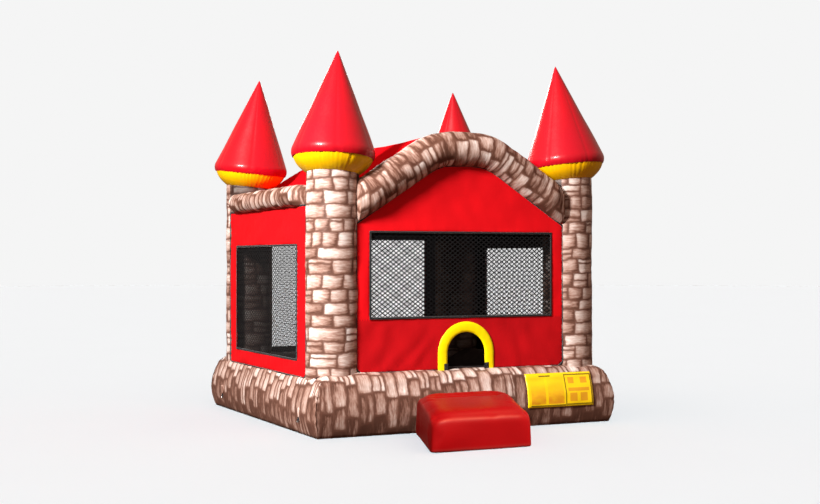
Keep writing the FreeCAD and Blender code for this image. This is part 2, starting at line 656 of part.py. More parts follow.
def carry_handle(housing):
    """Bar handle over the snail shell."""
    top = BLOWER_Z + SCROLL_R + 52
    y0, y1, r = BLOWER_Y - 75, BLOWER_Y + 75, 30.0
    bend = r * (1 - math.sqrt(0.5))
    path = Part.Wire([
        Part.makeLine(V(SLEEVE_X, y0, top - 110), V(SLEEVE_X, y0, top - r)),
        arc_edge((SLEEVE_X, y0, top - r), (SLEEVE_X, y0 + bend, top - bend), (SLEEVE_X, y0 + r, top)),
        Part.makeLine(V(SLEEVE_X, y0 + r, top), V(SLEEVE_X, y1 - r, top)),
        arc_edge((SLEEVE_X, y1 - r, top), (SLEEVE_X, y1 - bend, top - bend), (SLEEVE_X, y1, top - r)),
        Part.makeLine(V(SLEEVE_X, y1, top - r), V(SLEEVE_X, y1, top - 110)),
    ])
    ring = Part.Wire(Part.makeCircle(11, V(SLEEVE_X, y0, top - 110), V(0, 0, 1)))
    bar = path.makePipeShell([ring], True, False)
    return bar.cut(housing)


def blower_feet():
    xs, ys = (SLEEVE_X - 105, SLEEVE_X + 105), (DUCT_Y + 40, HEEL_Y - 35)
    return [rod(20, (x, y, 0), (0, 0, 1), FOOT_H - 0.5) for x in xs for y in ys]


# ---- everything ----------------------------------------------------------------------------------
def main():
    os.makedirs(OUT, exist_ok=True)
    base = base_blanks(GAP)
    corners = {"front_left": (-1, -1), "front_right": (1, -1), "back_left": (-1, 1), "back_right": (1, 1)}
    centres = {n: (sx * TOWER_X, sy * TOWER_Y) for n, (sx, sy) in corners.items()}
    towers = [tower_blank(*c, GAP) for c in centres.values()]
    towers_wide = [tower_blank(*c, GAP + SKIN) for c in centres.values()]

    across, along = base_tube(TOWER_X, TOWER_Y), base_tube(TOWER_Y, TOWER_X)
    save("base_tube_front", across.cut(step_vent()))
    save("base_tube_back", turned(across, 180).cut(sleeve_inlet()))
    save("base_tube_right", turned(along, 90))
    save("base_tube_left", turned(along, 270))
    save("floor_mattress", floor_mattress())
    save("floor_baffles", *floor_baffles())

    collar_shell = collar(0).cut(collar(SKIN))
    cone_shell = cone(0).cut(cone(SKIN))
    collars = [lean(collar(-GAP), *c) for c in centres.values()]
    cones = [lean(cone(-GAP), *c) for c in centres.values()]
    for name, c in centres.items():
        save("tower_" + name, tower(*c, base))
        save("collar_" + name, lean(collar_shell, *c))
        save("cone_" + name, lean(cone_shell, *c))

    around = towers + collars + cones
    save("front_arch_tube", *arch(-ARCH_Y, 0, around))
    save("back_arch_tube", *arch(ARCH_Y, ARCH_DROP, around))
    eaves = {"left": -1, "right": 1}
    for name, side in eaves.items():
        save(name + "_eave_tube", eave(side, towers, towers_wide))
    front_tubes = arch_segments(ARCH_R + GAP, -ARCH_Y, 0, 0)
    back_tubes = arch_segments(ARCH_R + GAP, ARCH_Y, ARCH_DROP, 0)
    eave_blanks = [rod(EAVE_R + GAP, (s * EAVE_X, -2000, EAVE_Z), (0, 1, 0), 4000) for s in eaves.values()]
    save("roof_sheet", *roof(towers + collars + front_tubes + back_tubes + eave_blanks))

    back_trims = [turned(t, 180) for t in back_tubes]
    side_trims = [turned(t, 90) for t in eave_blanks]
    save("front_wall_panel", *front_wall(base + front_tubes))
    save("back_wall_panel", *back_wall(base + back_trims))
    save("right_wall_panel", *side_wall(base + side_trims, 90))
    save("left_wall_panel", *side_wall(base + side_trims, 270))
    walls = {"front": (FRONT_WINDOW, FRONT_Y, 0), "right": (SIDE_WINDOW, SIDE_X, 90),
             "back": (BACK_WINDOW, FRONT_Y, 180), "left": (SIDE_WINDOW, SIDE_X, 270)}
    for name, wall in walls.items():
        save(name + "_window_net", net(*wall))
    save("window_bindings", *[s for wall in walls.values() for s in binding(*wall)])

    save("entrance_trim", entrance_trim(base))
    save("entrance_corner_patches", *corner_patches(base))
    save("entrance_step", entrance_step())
    save("rules_sign", rules_sign())

    anchors = {n: (sx, sy) for n, (sx, sy) in corners.items()}
    save("anchor_straps", *[at_anchor(anchor_strap(), *a) for a in anchors.values()])
    for name, a in anchors.items():
        save("anchor_ring_" + name, at_anchor(anchor_ring(), *a))

    save("inflation_sleeve", inflation_sleeve(base))
    save("sleeve_strap", sleeve_strap())
    save("cam_buckle_frame", buckle_frame())
    save("cam_buckle_lever", buckle_lever())
    save("zipper_tape", zipper_tape())
    save("zipper_slider", zipper_slider())
    save("zipper_pull", zipper_pull())

    save("blower_housing_left", blower_half(-1))
    save("blower_housing_right", blower_half(1))
    save("housing_screws", *housing_screws())
    save("outlet_nozzle", outlet_nozzle())
    save("inlet_grille", inlet_grille())
    save("impeller", impeller())
    save("motor_casing", motor_casing())
    save("switch_box", switch_box())
    save("rocker_switch", rocker_switch())
    save("power_cord_gland", cord_gland())
    x0, x1 = SLEEVE_X - BLOWER_HALF, SLEEVE_X + BLOWER_HALF
    save("carry_handle", carry_handle(blower_blank(-0.5, x0, x1)))
    save("blower_feet", *blower_feet())


main()
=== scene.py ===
import math

import bpy
import numpy as np
from mathutils import Matrix, Vector
from mathutils.geometry import delaunay_2d_cdt


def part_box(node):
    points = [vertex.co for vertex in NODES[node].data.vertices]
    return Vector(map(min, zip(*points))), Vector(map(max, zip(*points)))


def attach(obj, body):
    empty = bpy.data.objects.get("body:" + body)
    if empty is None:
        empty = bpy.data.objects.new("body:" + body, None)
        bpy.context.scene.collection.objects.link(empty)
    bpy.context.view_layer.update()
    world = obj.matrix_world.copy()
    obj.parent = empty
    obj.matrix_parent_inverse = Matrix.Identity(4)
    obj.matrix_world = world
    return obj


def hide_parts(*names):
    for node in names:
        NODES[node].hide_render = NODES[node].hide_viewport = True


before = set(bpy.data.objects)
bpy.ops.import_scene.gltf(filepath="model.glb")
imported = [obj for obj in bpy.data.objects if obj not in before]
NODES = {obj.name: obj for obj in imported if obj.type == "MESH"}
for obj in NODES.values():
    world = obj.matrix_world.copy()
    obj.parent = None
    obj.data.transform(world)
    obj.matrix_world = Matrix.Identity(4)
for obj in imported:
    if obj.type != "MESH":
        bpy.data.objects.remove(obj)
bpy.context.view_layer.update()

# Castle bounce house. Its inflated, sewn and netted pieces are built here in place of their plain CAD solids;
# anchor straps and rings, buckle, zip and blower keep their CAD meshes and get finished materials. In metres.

HOUSE = "house"

# ---- driving dimensions, the CAD's own -------------------------------------------------------
CORNERS = {"front_left": (-1, -1), "front_right": (1, -1), "back_left": (-1, 1), "back_right": (1, 1)}
TOWER_X, TOWER_Y, TOWER_R, TOWER_TOP, LEAN = 1.630, 1.560, 0.310, 3.070, math.radians(6)
COLLAR_H, COLLAR_R, CAP_R, CAP_TOP = 0.185, 0.480, 0.492, 1.485

BASE_ARCS = (
    ((1.980, 0.0), (2.035, 0.320), (1.975, 0.560)),
    ((1.975, 0.560), (1.920, 0.665), (1.800, 0.718)),
    ((1.800, 0.718), (1.640, 0.738), (1.480, 0.672)),
    ((1.480, 0.672), (1.380, 0.575), (1.340, 0.440)),
)
BASE_INNER = 1.340

ARCH_R, ARCH_Y, ARCH_Z, ARCH_DROP = 0.215, 1.740, 3.400, 0.060
ARCH_CORNER, ARCH_BEND, ARCH_END, SLOPE = 0.368, 0.085, 1.425, 0.649
EAVE_R, EAVE_X, EAVE_Z, EAVE_END = 0.130, 1.920, 2.815, 1.400
FRONT_Y, SIDE_X = 1.789, 1.930
FRONT_HALF, SIDE_HALF, CUT_CORNER = 1.418, 1.475, 0.055
FRONT_WINDOW, BACK_WINDOW, SIDE_WINDOW = (1.240, 1.356, 2.381), (1.220, 0.800, 2.356), (1.170, 0.850, 2.228)
DOOR_X, DOOR_R, TRIM_R, DOOR_SPRING = 0.035, 0.257, 0.384, 0.912
ROOF_HALF, ROOF_Z, VALLEY_X, ROOF_FRONT = 0.400, 3.572, 1.500, -1.600
STEP_X0, STEP_X1, STEP_FRONT, STEP_BACK = -0.790, 0.500, -3.560, -2.037
STEP_H, STEP_LOW, STEP_SKEW = 0.500, 0.410, 0.550
SIGN_X0, SIGN_X1, SIGN_Z0, SIGN_Z1 = 0.760, 1.710, 0.225, 0.640
SLEEVE_X, SLEEVE_Z, SLEEVE_R, SLEEVE_END = 0.900, 0.165, 0.130, 2.740
STRAP_Y0, STRAP_Y1 = 2.680, 2.718
ANCHOR_Y, PATCH_Z = 1.500, 0.262

# ---- what only the looks need ----------------------------------------------------------------
ARC_STEPS = 14  # points on each arc of a base tube's outline
WALL_TUCK = 0.10  # how far the end walls run up inside their arches
SHEET = 0.003  # thickness of the walls and the roof


# ---- shader helpers --------------------------------------------------------------------------
def add(tree, kind, inputs=None, **settings):
    """A shader node; an input that is a socket is linked, any other is a value."""
    node = tree.nodes.new("ShaderNode" + kind)
    for key, value in settings.items():
        setattr(node, key, value)
    for key, value in (inputs or {}).items():
        if isinstance(value, bpy.types.NodeSocket):
            tree.links.new(value, node.inputs[key])
        else:
            node.inputs[key].default_value = value
    return node


def maths(tree, operation, a, b=0.0, c=0.0):
    return add(tree, "Math", {0: a, 1: b, 2: c}, operation=operation).outputs[0]


def between(tree, value, low, high, to_low=0.0, to_high=1.0):
    """value from low..high taken smoothly to to_low..to_high."""
    inputs = {"Value": value, "From Min": low, "From Max": high, "To Min": to_low, "To Max": to_high}
    return add(tree, "MapRange", inputs, interpolation_type="SMOOTHSTEP").outputs["Result"]


def blend_colour(tree, factor, a, b):
    return add(tree, "Mix", {0: factor, 6: a, 7: b}, data_type="RGBA").outputs[2]


def ramp(tree, value, *stops):
    """Colour ramp; each stop is (position, red, green, blue)."""
    node = add(tree, "ValToRGB", {"Fac": value})
    elements = node.color_ramp.elements
    while len(elements) < len(stops):
        elements.new(0.5)
    for element, (position, *colour) in zip(elements, stops):
        element.position = position
        element.color = (*colour, 1)
    return node.outputs["Color"]


def noise_of(tree, vector, scale, detail=3.0, roughness=0.5, output="Fac"):
    inputs = {"Vector": vector, "Scale": scale, "Detail": detail, "Roughness": roughness}
    return add(tree, "TexNoise", inputs).outputs[output]


def bump_of(tree, height, distance, strength=1.0, below=None):
    inputs = {"Height": height, "Distance": distance, "Strength": strength}
    if below is not None:
        inputs["Normal"] = below
    return add(tree, "Bump", inputs).outputs["Normal"]


def new_material(name):
    """(material, its tree, its Principled node, the surface's place in metres)"""
    material = bpy.data.materials.new(name)
    material.use_nodes = True
    tree = material.node_tree
    shader = tree.nodes["Principled BSDF"]
    place = add(tree, "TexCoord").outputs["Object"]
    return material, tree, shader, place


def join(tree, shader, colour=None, roughness=None, normal=None, **constants):
    """Links what varies to the shader and sets what doesn't."""
    for socket, value in (("Base Color", colour), ("Roughness", roughness), ("Normal", normal)):
        if isinstance(value, bpy.types.NodeSocket):
            tree.links.new(value, shader.inputs[socket])
        elif value is not None:
            shader.inputs[socket].default_value = value
    for key, value in constants.items():
        shader.inputs[key.replace("_", " ").title()].default_value = value


def scrim(tree, place):
    """Normal of coated vinyl: the weave showing through, and long soft dents."""
    fine = noise_of(tree, place, 420.0, 2.0)
    soft = noise_of(tree, place, 5.0, 2.0)
    return bump_of(tree, fine, 0.0002, 0.25, bump_of(tree, soft, 0.012, 0.3))


def dusty(tree, place, colour, dust=(0.20, 0.15, 0.12, 1)):
    """colour, with specks of dust on what stands on the ground."""
    height = add(tree, "SeparateXYZ", {0: place}).outputs["Z"]
    speck = noise_of(tree, place, 14.0, 6.0, 0.7)
    low = maths(tree, "MULTIPLY", between(tree, height, 0.0, 0.06, 0.35, 0.0), speck)
    return blend_colour(tree, low, colour, dust)


# ---- materials -------------------------------------------------------------------------------
def courses(tree, w, randomness):
    """Random cells along one axis: (colours, place in the cell from -0.5 to 0.5, distance to its rim)."""
    inputs = {"W": w, "Scale": 1.0, "Randomness": randomness}
    cell = add(tree, "TexVoronoi", inputs, voronoi_dimensions="1D")
    rim = add(tree, "TexVoronoi", inputs, voronoi_dimensions="1D", feature="DISTANCE_TO_EDGE")
    colours = add(tree, "SeparateColor", {0: cell.outputs["Color"]})
    return colours, maths(tree, "SUBTRACT", w, cell.outputs["W"]), rim.outputs["Distance"]


def stone_material(name, strength=1.0, paleness=0.28, coat=0.10, gloss=0.25):
    """Printed castle stone. U runs round the tube and V along it, in metres; courses stack along V. strength
    is how far the print stands out of near black, and paleness how light it is well above the ground."""
    material, tree, shader, place = new_material(name)
    uv = add(tree, "UVMap").outputs["UV"]
    parts = add(tree, "SeparateXYZ", {0: uv})
    sway = maths(tree, "SUBTRACT", noise_of(tree, uv, 4.5, 2.0), 0.5)
    rough_edge = maths(tree, "SUBTRACT", noise_of(tree, uv, 22.0, 3.0), 0.5)
    along = maths(tree, "MULTIPLY_ADD", sway, 0.07, parts.outputs["Y"])
    around = maths(tree, "MULTIPLY_ADD", sway, -0.07, parts.outputs["X"])

    course = 0.160
    pick, up, row_edge = courses(tree, maths(tree, "DIVIDE", along, course), 0.55)
    length = maths(tree, "MULTIPLY_ADD", pick.outputs["Green"], 0.24, 0.19)
    shift = maths(tree, "MULTIPLY", pick.outputs["Red"], 53.0)
    shifted = maths(tree, "ADD", maths(tree, "DIVIDE", around, length), shift)
    own, right, stone_edge = courses(tree, shifted, 0.95)
    whole = maths(tree, "LESS_THAN", own.outputs["Red"], 0.62)
    split = maths(tree, "ADD", maths(tree, "ABSOLUTE", maths(tree, "SUBTRACT", up, 0.06)), whole)
    from_course = maths(tree, "MULTIPLY", maths(tree, "MINIMUM", row_edge, split), course)
    edge = maths(tree, "SMOOTH_MIN", from_course, maths(tree, "MULTIPLY", stone_edge, length), 0.035)
    edge = maths(tree, "MULTIPLY_ADD", rough_edge, 0.016, edge)

    streak_place = add(tree, "Mapping", {"Vector": uv, "Scale": (7.0, 34.0, 1.0)}).outputs[0]
    streak = maths(tree, "SUBTRACT", noise_of(tree, streak_place, 1.3, 5.0, 0.62), 0.5)
    height = add(tree, "SeparateXYZ", {0: place}).outputs["Z"]
    # the print darkens towards the ground: painted shade low on the base
    low = between(tree, height, 0.0, 0.70, -0.06, paleness)
    tone = maths(tree, "MULTIPLY_ADD", maths(tree, "MINIMUM", edge, 0.045), 5.5, low)
    tone = maths(tree, "MULTIPLY_ADD", streak, 0.85, tone)
    tone = maths(tree, "MULTIPLY_ADD", up, 0.22, tone)
    tone = maths(tree, "MULTIPLY_ADD", right, -0.40, tone)
    tone = maths(tree, "MULTIPLY_ADD", own.outputs["Blue"], -0.20, tone)
    body = ramp(tree, tone, (0.0, 0.100, 0.042, 0.028), (0.12, 0.200, 0.098, 0.070),
                (0.28, 0.350, 0.212, 0.168), (0.46, 0.540, 0.398, 0.345),
                (0.66, 0.720, 0.630, 0.585), (0.96, 0.860, 0.825, 0.800))
    mortar = maths(tree, "MULTIPLY", between(tree, edge, 0.004, 0.018, 1.0, 0.0), 0.88)
    print_colour = blend_colour(tree, mortar, body, (0.130, 0.056, 0.038, 1))
    colour = blend_colour(tree, strength, (0.006, 0.004, 0.004, 1), print_colour)
    roughness = between(tree, streak, -0.3, 0.3, 0.40, 0.52)
    join(tree, shader, colour, roughness, scrim(tree, place), coat_weight=coat, coat_roughness=0.3)
    shader.inputs["Specular IOR Level"].default_value = gloss
    return material


def vinyl_material(name, colour, shade, roughness, coat=0.0, coat_roughness=0.2, gloss=0.2):
    """Coated vinyl: colour drifts a little to shade, in large soft patches and in fine flecks."""
    material, tree, shader, place = new_material(name)
    drift = noise_of(tree, place, 1.4, 3.0)
    fleck = noise_of(tree, place, 55.0, 4.0, 0.7)
    patches = between(tree, drift, 0.3, 0.75)
    mix = maths(tree, "MULTIPLY_ADD", maths(tree, "SUBTRACT", fleck, 0.5), 0.35, patches)
    base = dusty(tree, place, blend_colour(tree, mix, (*colour, 1), (*shade, 1)))
    rough = between(tree, fleck, 0.25, 0.75, roughness - 0.05, roughness + 0.07)
    join(tree, shader, base, rough, scrim(tree, place), coat_weight=coat, coat_roughness=coat_roughness)
    shader.inputs["Specular IOR Level"].default_value = gloss
    return material


def weave_material(name, colour, pitch, roughness=0.75, stitches=None):
    """Woven tape or webbing; U runs along it and V across, in metres. stitches is their distance from its
    middle line."""
    material, tree, shader, place = new_material(name)
    parts = add(tree, "SeparateXYZ", {0: add(tree, "UVMap").outputs["UV"]})
    turns = math.tau / pitch
    warp = maths(tree, "SINE", maths(tree, "MULTIPLY", parts.outputs["Y"], turns))
    weft = maths(tree, "SINE", maths(tree, "MULTIPLY", parts.outputs["X"], turns))
    cloth = maths(tree, "MULTIPLY", warp, weft)
    fuzz = noise_of(tree, place, 300.0, 3.0)
    base = blend_colour(tree, fuzz, (*colour, 1), (*[c * 1.9 for c in colour], 1))
    if stitches:
        aside = maths(tree, "ABSOLUTE", parts.outputs["Y"])
        off = maths(tree, "ABSOLUTE", maths(tree, "SUBTRACT", aside, stitches))
        line = between(tree, off, 0.0005, 0.0013, 1.0, 0.0)
        wave = maths(tree, "SINE", maths(tree, "MULTIPLY", parts.outputs["X"], 900.0))
        dash = maths(tree, "GREATER_THAN", wave, -0.5)
        thread = maths(tree, "MULTIPLY", line, dash)
        base = blend_colour(tree, thread, base, (0.30, 0.30, 0.30, 1))
        cloth = maths(tree, "MULTIPLY_ADD", thread, 1.5, cloth)
    join(tree, shader, base, roughness, bump_of(tree, cloth, 0.0006, 0.6), sheen_weight=0.02)
    shader.inputs["Specular IOR Level"].default_value = 0.12
    return material


def metal_material(name, colour, roughness, scale=220.0):
    material, tree, shader, place = new_material(name)
    grain = noise_of(tree, place, scale, 4.0, 0.6)
    worn = noise_of(tree, place, 35.0, 5.0, 0.7)
    base = blend_colour(tree, between(tree, worn, 0.45, 0.7), (*colour, 1), (*[c * 0.6 for c in colour], 1))
    rough = between(tree, grain, 0.2, 0.8, roughness - 0.08, roughness + 0.12)
    join(tree, shader, base, rough, bump_of(tree, grain, 0.0002, 0.3), metallic=1.0)
    return material


def moulded_material(name, colour, roughness, texture=0.0004, metallic=0.0):
    """Moulded plastic, rubber or paint: fine texture, scuffs and dust."""
    material, tree, shader, place = new_material(name)
    grain = noise_of(tree, place, 650.0, 2.0)
    scuff = between(tree, noise_of(tree, place, 22.0, 7.0, 0.75), 0.56, 0.72)
    pale = [min(1.0, c * 0.75 + 0.12) for c in colour]
    base = dusty(tree, place, blend_colour(tree, scuff, (*colour, 1), (*pale, 1)))
    rough = between(tree, scuff, 0.0, 1.0, roughness, min(1.0, roughness + 0.2))
    join(tree, shader, base, rough, bump_of(tree, grain, texture, 0.6), metallic=metallic)
    return material


def sign_material():
    """Yellow notice with generic printed blocks and no lettering. U and V run 0 to 1 over it."""
    material, tree, shader, place = new_material("sign_print")
    parts = add(tree, "SeparateXYZ", {0: add(tree, "UVMap").outputs["UV"]})
    u, v = parts.outputs["X"], parts.outputs["Y"]

    def block(u0, u1, v0, v1):
        """1 within a rectangle, 0 outside it."""
        mask = 1.0
        for operation, axis, side in (("GREATER_THAN", u, u0), ("LESS_THAN", u, u1),
                                      ("GREATER_THAN", v, v0), ("LESS_THAN", v, v1)):
            mask = maths(tree, "MULTIPLY", mask, maths(tree, operation, axis, side))
        return mask

    def blocks(*corners):
        """1 within any of the rectangles, 0 outside them all."""
        mask = 0.0
        for corner in corners:
            mask = maths(tree, "MAXIMUM", mask, block(*corner))
        return mask

    patch = noise_of(tree, add(tree, "UVMap").outputs["UV"], 7.0, 3.0)
    low = between(tree, v, 0.75, 0.1)
    field = blocks((0.055, 0.27, 0.10, 0.88), (0.31, 0.55, 0.10, 0.88))
    deep = maths(tree, "MULTIPLY", maths(tree, "MULTIPLY_ADD", low, 0.75, 0.12), field)
    deep = maths(tree, "MULTIPLY", deep, between(tree, patch, 0.2, 0.65, 0.45, 1.0))
    base = blend_colour(tree, deep, (1.0, 0.68, 0.0, 1), (0.76, 0.25, 0.01, 1))
    squares = blocks((0.63, 0.72, 0.68, 0.86), (0.82, 0.92, 0.68, 0.86), (0.62, 0.94, 0.45, 0.55),
                     (0.64, 0.75, 0.15, 0.40), (0.80, 0.91, 0.15, 0.40))
    base = blend_colour(tree, maths(tree, "MULTIPLY", squares, 0.8), base, (0.74, 0.29, 0.01, 1))
    rim = maths(tree, "SUBTRACT", block(0.575, 0.985, 0.045, 0.955), block(0.592, 0.968, 0.085, 0.915))
    bars = blocks((0.045, 0.575, 0.03, 0.07), (0.20, 0.37, 0.895, 0.935))
    lines = maths(tree, "MULTIPLY", maths(tree, "MAXIMUM", rim, bars), 0.85)
    base = blend_colour(tree, lines, base, (0.10, 0.07, 0.0, 1))
    join(tree, shader, base, 0.35, scrim(tree, place), coat_weight=0.3, coat_roughness=0.2)
    return material


STONE = stone_material("stone_vinyl")
# The stone print darkened nearly to black, for the towers inside the house: painted shade.
STONE_PAINTED_SHADE_INSIDE = stone_material("stone_painted_shade_inside", strength=0.22)
ARCH_STONE = stone_material("stone_vinyl_arches", paleness=0.20, coat=0.0, gloss=0.03)
WALL_RED = vinyl_material("wall_vinyl", (0.74, 0.0050, 0.0095), (0.63, 0.0045, 0.0085), 0.62, gloss=0.06)
# A deeper copy of the wall red for the left wall, which faces the key light: painted shade.
LEFT_RED_PAINTED_SHADE = vinyl_material("left_wall_painted_shade", (0.61, 0.0042, 0.0080), (0.54, 0.0038, 0.0072), 0.62, gloss=0.06)
# A deeper red for the front wall below its window: painted shade.
SKIRT_PAINTED_SHADE = vinyl_material("skirt_painted_shade", (0.52, 0.0055, 0.0090), (0.44, 0.0045, 0.0080), 0.62, gloss=0.06)
CONE_RED = vinyl_material("cone_vinyl", (0.48, 0.0025, 0.0090), (0.43, 0.0025, 0.0120), 0.34, 0.32, 0.09)
ROOF_RED = vinyl_material("roof_vinyl", (0.74, 0.0050, 0.0095), (0.63, 0.0045, 0.0085), 0.62, gloss=0.0)
STEP_RED = vinyl_material("step_vinyl", (0.50, 0.0030, 0.0055), (0.43, 0.0025, 0.0045), 0.45, gloss=0.10)
YELLOW = vinyl_material("yellow_vinyl", (0.92, 0.54, 0.0), (0.86, 0.44, 0.0), 0.42, 0.15, 0.2)
BAND_YELLOW = vinyl_material("band_vinyl", (0.98, 0.84, 0.0), (0.96, 0.76, 0.0), 0.45)
FLOOR_GREY = vinyl_material("floor_vinyl", (0.040, 0.040, 0.044), (0.028, 0.028, 0.032), 0.6)
# Near black for the faces inside the house (backs of the walls and roof, inner sides of the base tubes):
# painted shade.
PAINTED_SHADE_INSIDE = vinyl_material("inner_vinyl", (0.014, 0.006, 0.006), (0.009, 0.005, 0.005), 0.8)
SLEEVE_GREY = vinyl_material("sleeve_nylon", (0.50, 0.47, 0.42), (0.38, 0.36, 0.33), 0.55)
NETTING = weave_material("netting", (0.004, 0.004, 0.0045), 0.004)
TAPE = weave_material("black_tape", (0.010, 0.010, 0.011), 0.003, stitches=0.009)
WEBBING = weave_material("webbing", (0.015, 0.015, 0.018), 0.005, stitches=0.018)
ZINC = metal_material("zinc_steel", (0.62, 0.63, 0.65), 0.32)
BRASS = metal_material("zip_brass", (0.62, 0.45, 0.20), 0.35)
SHELL = moulded_material("blower_shell", (0.80, 0.42, 0.02), 0.42)
BLACK = moulded_material("black_plastic", (0.016, 0.016, 0.017), 0.45)
ALLOY = moulded_material("motor_alloy", (0.12, 0.125, 0.13), 0.38, 0.0003, 0.6)
SWITCH = moulded_material("switch_red", (0.60, 0.02, 0.015), 0.22, 0.0001)
RUBBER = moulded_material("foot_rubber", (0.014, 0.014, 0.014), 0.8, 0.0008)
SIGN = sign_material()


# ---- mesh helpers ----------------------------------------------------------------------------
def make_piece(name, points, faces, material, nodes=(), uvs=None):
    """A smooth mesh piece that rides on the house and stands for the named CAD nodes; one that shares a
    node's name is called its skin."""
    if name in NODES:
        name += "_skin"
    mesh = bpy.data.meshes.new(name)
    mesh.from_pydata([tuple(p) for p in points], [], [tuple(int(i) for i in f) for f in faces])
    if uvs is not None:
        layer = mesh.uv_layers.new(name="UVMap")
        layer.data.foreach_set("uv", np.asarray(uvs, np.float32).ravel())
    mesh.materials.append(material)
    mesh.shade_smooth()
    mesh.validate()
    piece = bpy.data.objects.new(name, mesh)
    bpy.context.scene.collection.objects.link(piece)
    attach(piece, HOUSE)
    if nodes:
        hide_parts(*nodes)
    return piece


def grid_faces(rows, columns, closed):
    """Quads of a grid of points, row by row, and each quad's (row, column)."""
    spans = columns if closed else columns - 1
    faces, cells = [], []
    for i in range(rows - 1):
        for j in range(spans):
            k = (j + 1) % columns
            faces.append((i * columns + j, i * columns + k, (i + 1) * columns + k, (i + 1) * columns + j))
            cells.append((i, j))
    return faces, cells


def loft(name, rings, around, along, material, nodes=(), closed=True, caps=False):
    """Skin over rings[row, column, xyz]. around holds columns + 1 distances if closed, and along one per
    point."""
    rows, columns = rings.shape[:2]
    faces, cells = grid_faces(rows, columns, closed)
    uvs = []
    for i, j in cells:
        k = (j + 1) % columns
        uvs += [(around[j], along[i, j]), (around[j + 1], along[i, k]),
                (around[j + 1], along[i + 1, k]), (around[j], along[i + 1, j])]
    if caps:
        for row, order in ((0, -1), (rows - 1, 1)):
            ring = [row * columns + j for j in range(columns)][::order]
            faces.append(ring)
            uvs += [(around[i % columns], along[row, i % columns]) for i in ring]
    return make_piece(name, rings.reshape(-1, 3), faces, material, nodes, uvs)


def thicken(piece, thickness, inside=None):
    """Gives a sheet its thickness; inside is the material of its hidden face, whatever is in front of it."""
    solid = piece.modifiers.new("thickness", "SOLIDIFY")
    solid.thickness = thickness
    solid.offset = -1
    if inside:
        fronts = len(piece.data.materials)
        for _ in range(fronts):
            piece.data.materials.append(inside)
        solid.material_offset = fronts


def second_finish(piece, material, chosen):
    """Gives material to the faces whose centres chosen(centres) picks."""
    piece.data.materials.append(material)
    centres = np.array([face.center for face in piece.data.polygons])
    picks = chosen(centres).astype(np.int32)
    piece.data.polygons.foreach_set("material_index", picks)


def ripples(a, b, size, seed):
    """Soft unevenness from about -1 to 1 over two coordinates: crossing waves about size long."""
    rng = np.random.default_rng(seed)
    total = 0.0
    for _ in range(7):
        turn, phase = rng.uniform(0, math.tau, 2)
        length = size * rng.uniform(0.7, 1.7)
        total = total + np.sin((a * math.cos(turn) + b * math.sin(turn)) * math.tau / length + phase)
    return total / 3.2


def gathers(s, pitch, seed):
    """Irregular sharp folds from 0 to 1 along s."""
    warped = s + ripples(s, 0 * s, pitch * 4, seed) * pitch * 0.55
    strength = 0.55 + 0.45 * ripples(s, 0 * s, pitch * 3, seed + 1)
    return (0.5 + 0.5 * np.cos(warped * math.tau / pitch)) ** 2 * np.clip(strength, 0, 1)


def near(distance, reach):
    """1 where distance is 0 or less, fading to 0 over a few reaches."""
    return np.exp(-np.maximum(distance, 0) / reach)


def eased(share):
    """share held between 0 and 1, with soft ends."""
    share = np.clip(share, 0, 1)
    return share ** 2 * (3 - 2 * share)


def arc_points(a, b, c, count):
    """count points on the arc from a through b to c, without c."""
    (ax, ay), (bx, by), (cx, cy) = a, b, c
    d = 2 * (ax * (by - cy) + bx * (cy - ay) + cx * (ay - by))
    sq = [p[0] ** 2 + p[1] ** 2 for p in (a, b, c)]
    ux = (sq[0] * (by - cy) + sq[1] * (cy - ay) + sq[2] * (ay - by)) / d
    uy = (sq[0] * (cx - bx) + sq[1] * (ax - cx) + sq[2] * (bx - ax)) / d
    start, end = math.atan2(ay - uy, ax - ux), math.atan2(cy - uy, cx - ux)
    swing = (end - start + math.pi) % math.tau - math.pi
    radius = math.hypot(ax - ux, ay - uy)
    turns = [start + swing * i / count for i in range(count)]
    return [(ux + radius * math.cos(t), uy + radius * math.sin(t)) for t in turns]


def line_points(a, b, count):
    """count points on the line from a to b, without b."""
    return [(a[0] + (b[0] - a[0]) * i / count, a[1] + (b[1] - a[1]) * i / count) for i in range(count)]


def lengths(points, closed=False):
    """Distance along a line of points, one more at the end if it closes."""
    points = np.asarray(points, float)
    if closed:
        points = np.vstack([points, points[:1]])
    steps = np.linalg.norm(np.diff(points, axis=0), axis=1)
    return np.concatenate([[0.0], np.cumsum(steps)])


def sideways(steps):
    """Unit vectors to the left of each step of a flat path."""
    size = np.maximum(np.linalg.norm(steps, axis=1, keepdims=True), 1e-9)
    return np.stack([-steps[:, 1], steps[:, 0]], axis=1) / size


def turned(points, quarter):
    """Points of the front side, carried round to side number quarter: 1 right, 2 back, 3 left."""
    angle = quarter * math.pi / 2
    c, s = round(math.cos(angle)), round(math.sin(angle))
    out = np.array(points, float)
    x, y = out[..., 0].copy(), out[..., 1].copy()
    out[..., 0], out[..., 1] = c * x - s * y, s * x + c * y
    return out


# ---- base ------------------------------------------------------------------------------------
def base_profile():
    """Outline of a base tube as (distance out, height), from the ground's outer edge over the crest to the
    inside."""
    points = []
    for arc in BASE_ARCS:
        points += arc_points(*arc, ARC_STEPS)
    inner, corner = BASE_ARCS[-1][2], (BASE_INNER, 0.0)
    points += line_points(inner, corner, 8)
    points += line_points(corner, BASE_ARCS[0][0], 8)
    return np.array(points)


def base_height(out):
    """Height of the base's top at a distance out from the centre."""
    profile = base_profile()
    top = profile[profile[:, 1] > BASE_ARCS[-1][2][1]]
    return float(np.interp(out, top[::-1, 0], top[::-1, 1]))


def base_face(height):
    """Distance out of the base's side at a height."""
    profile = base_profile()[: 2 * ARC_STEPS]
    return np.interp(height, profile[:, 1], profile[:, 0])


def outward(profile):
    """Outward normals of a closed outline."""
    return -sideways(np.roll(profile, -1, axis=0) - np.roll(profile, 1, axis=0))


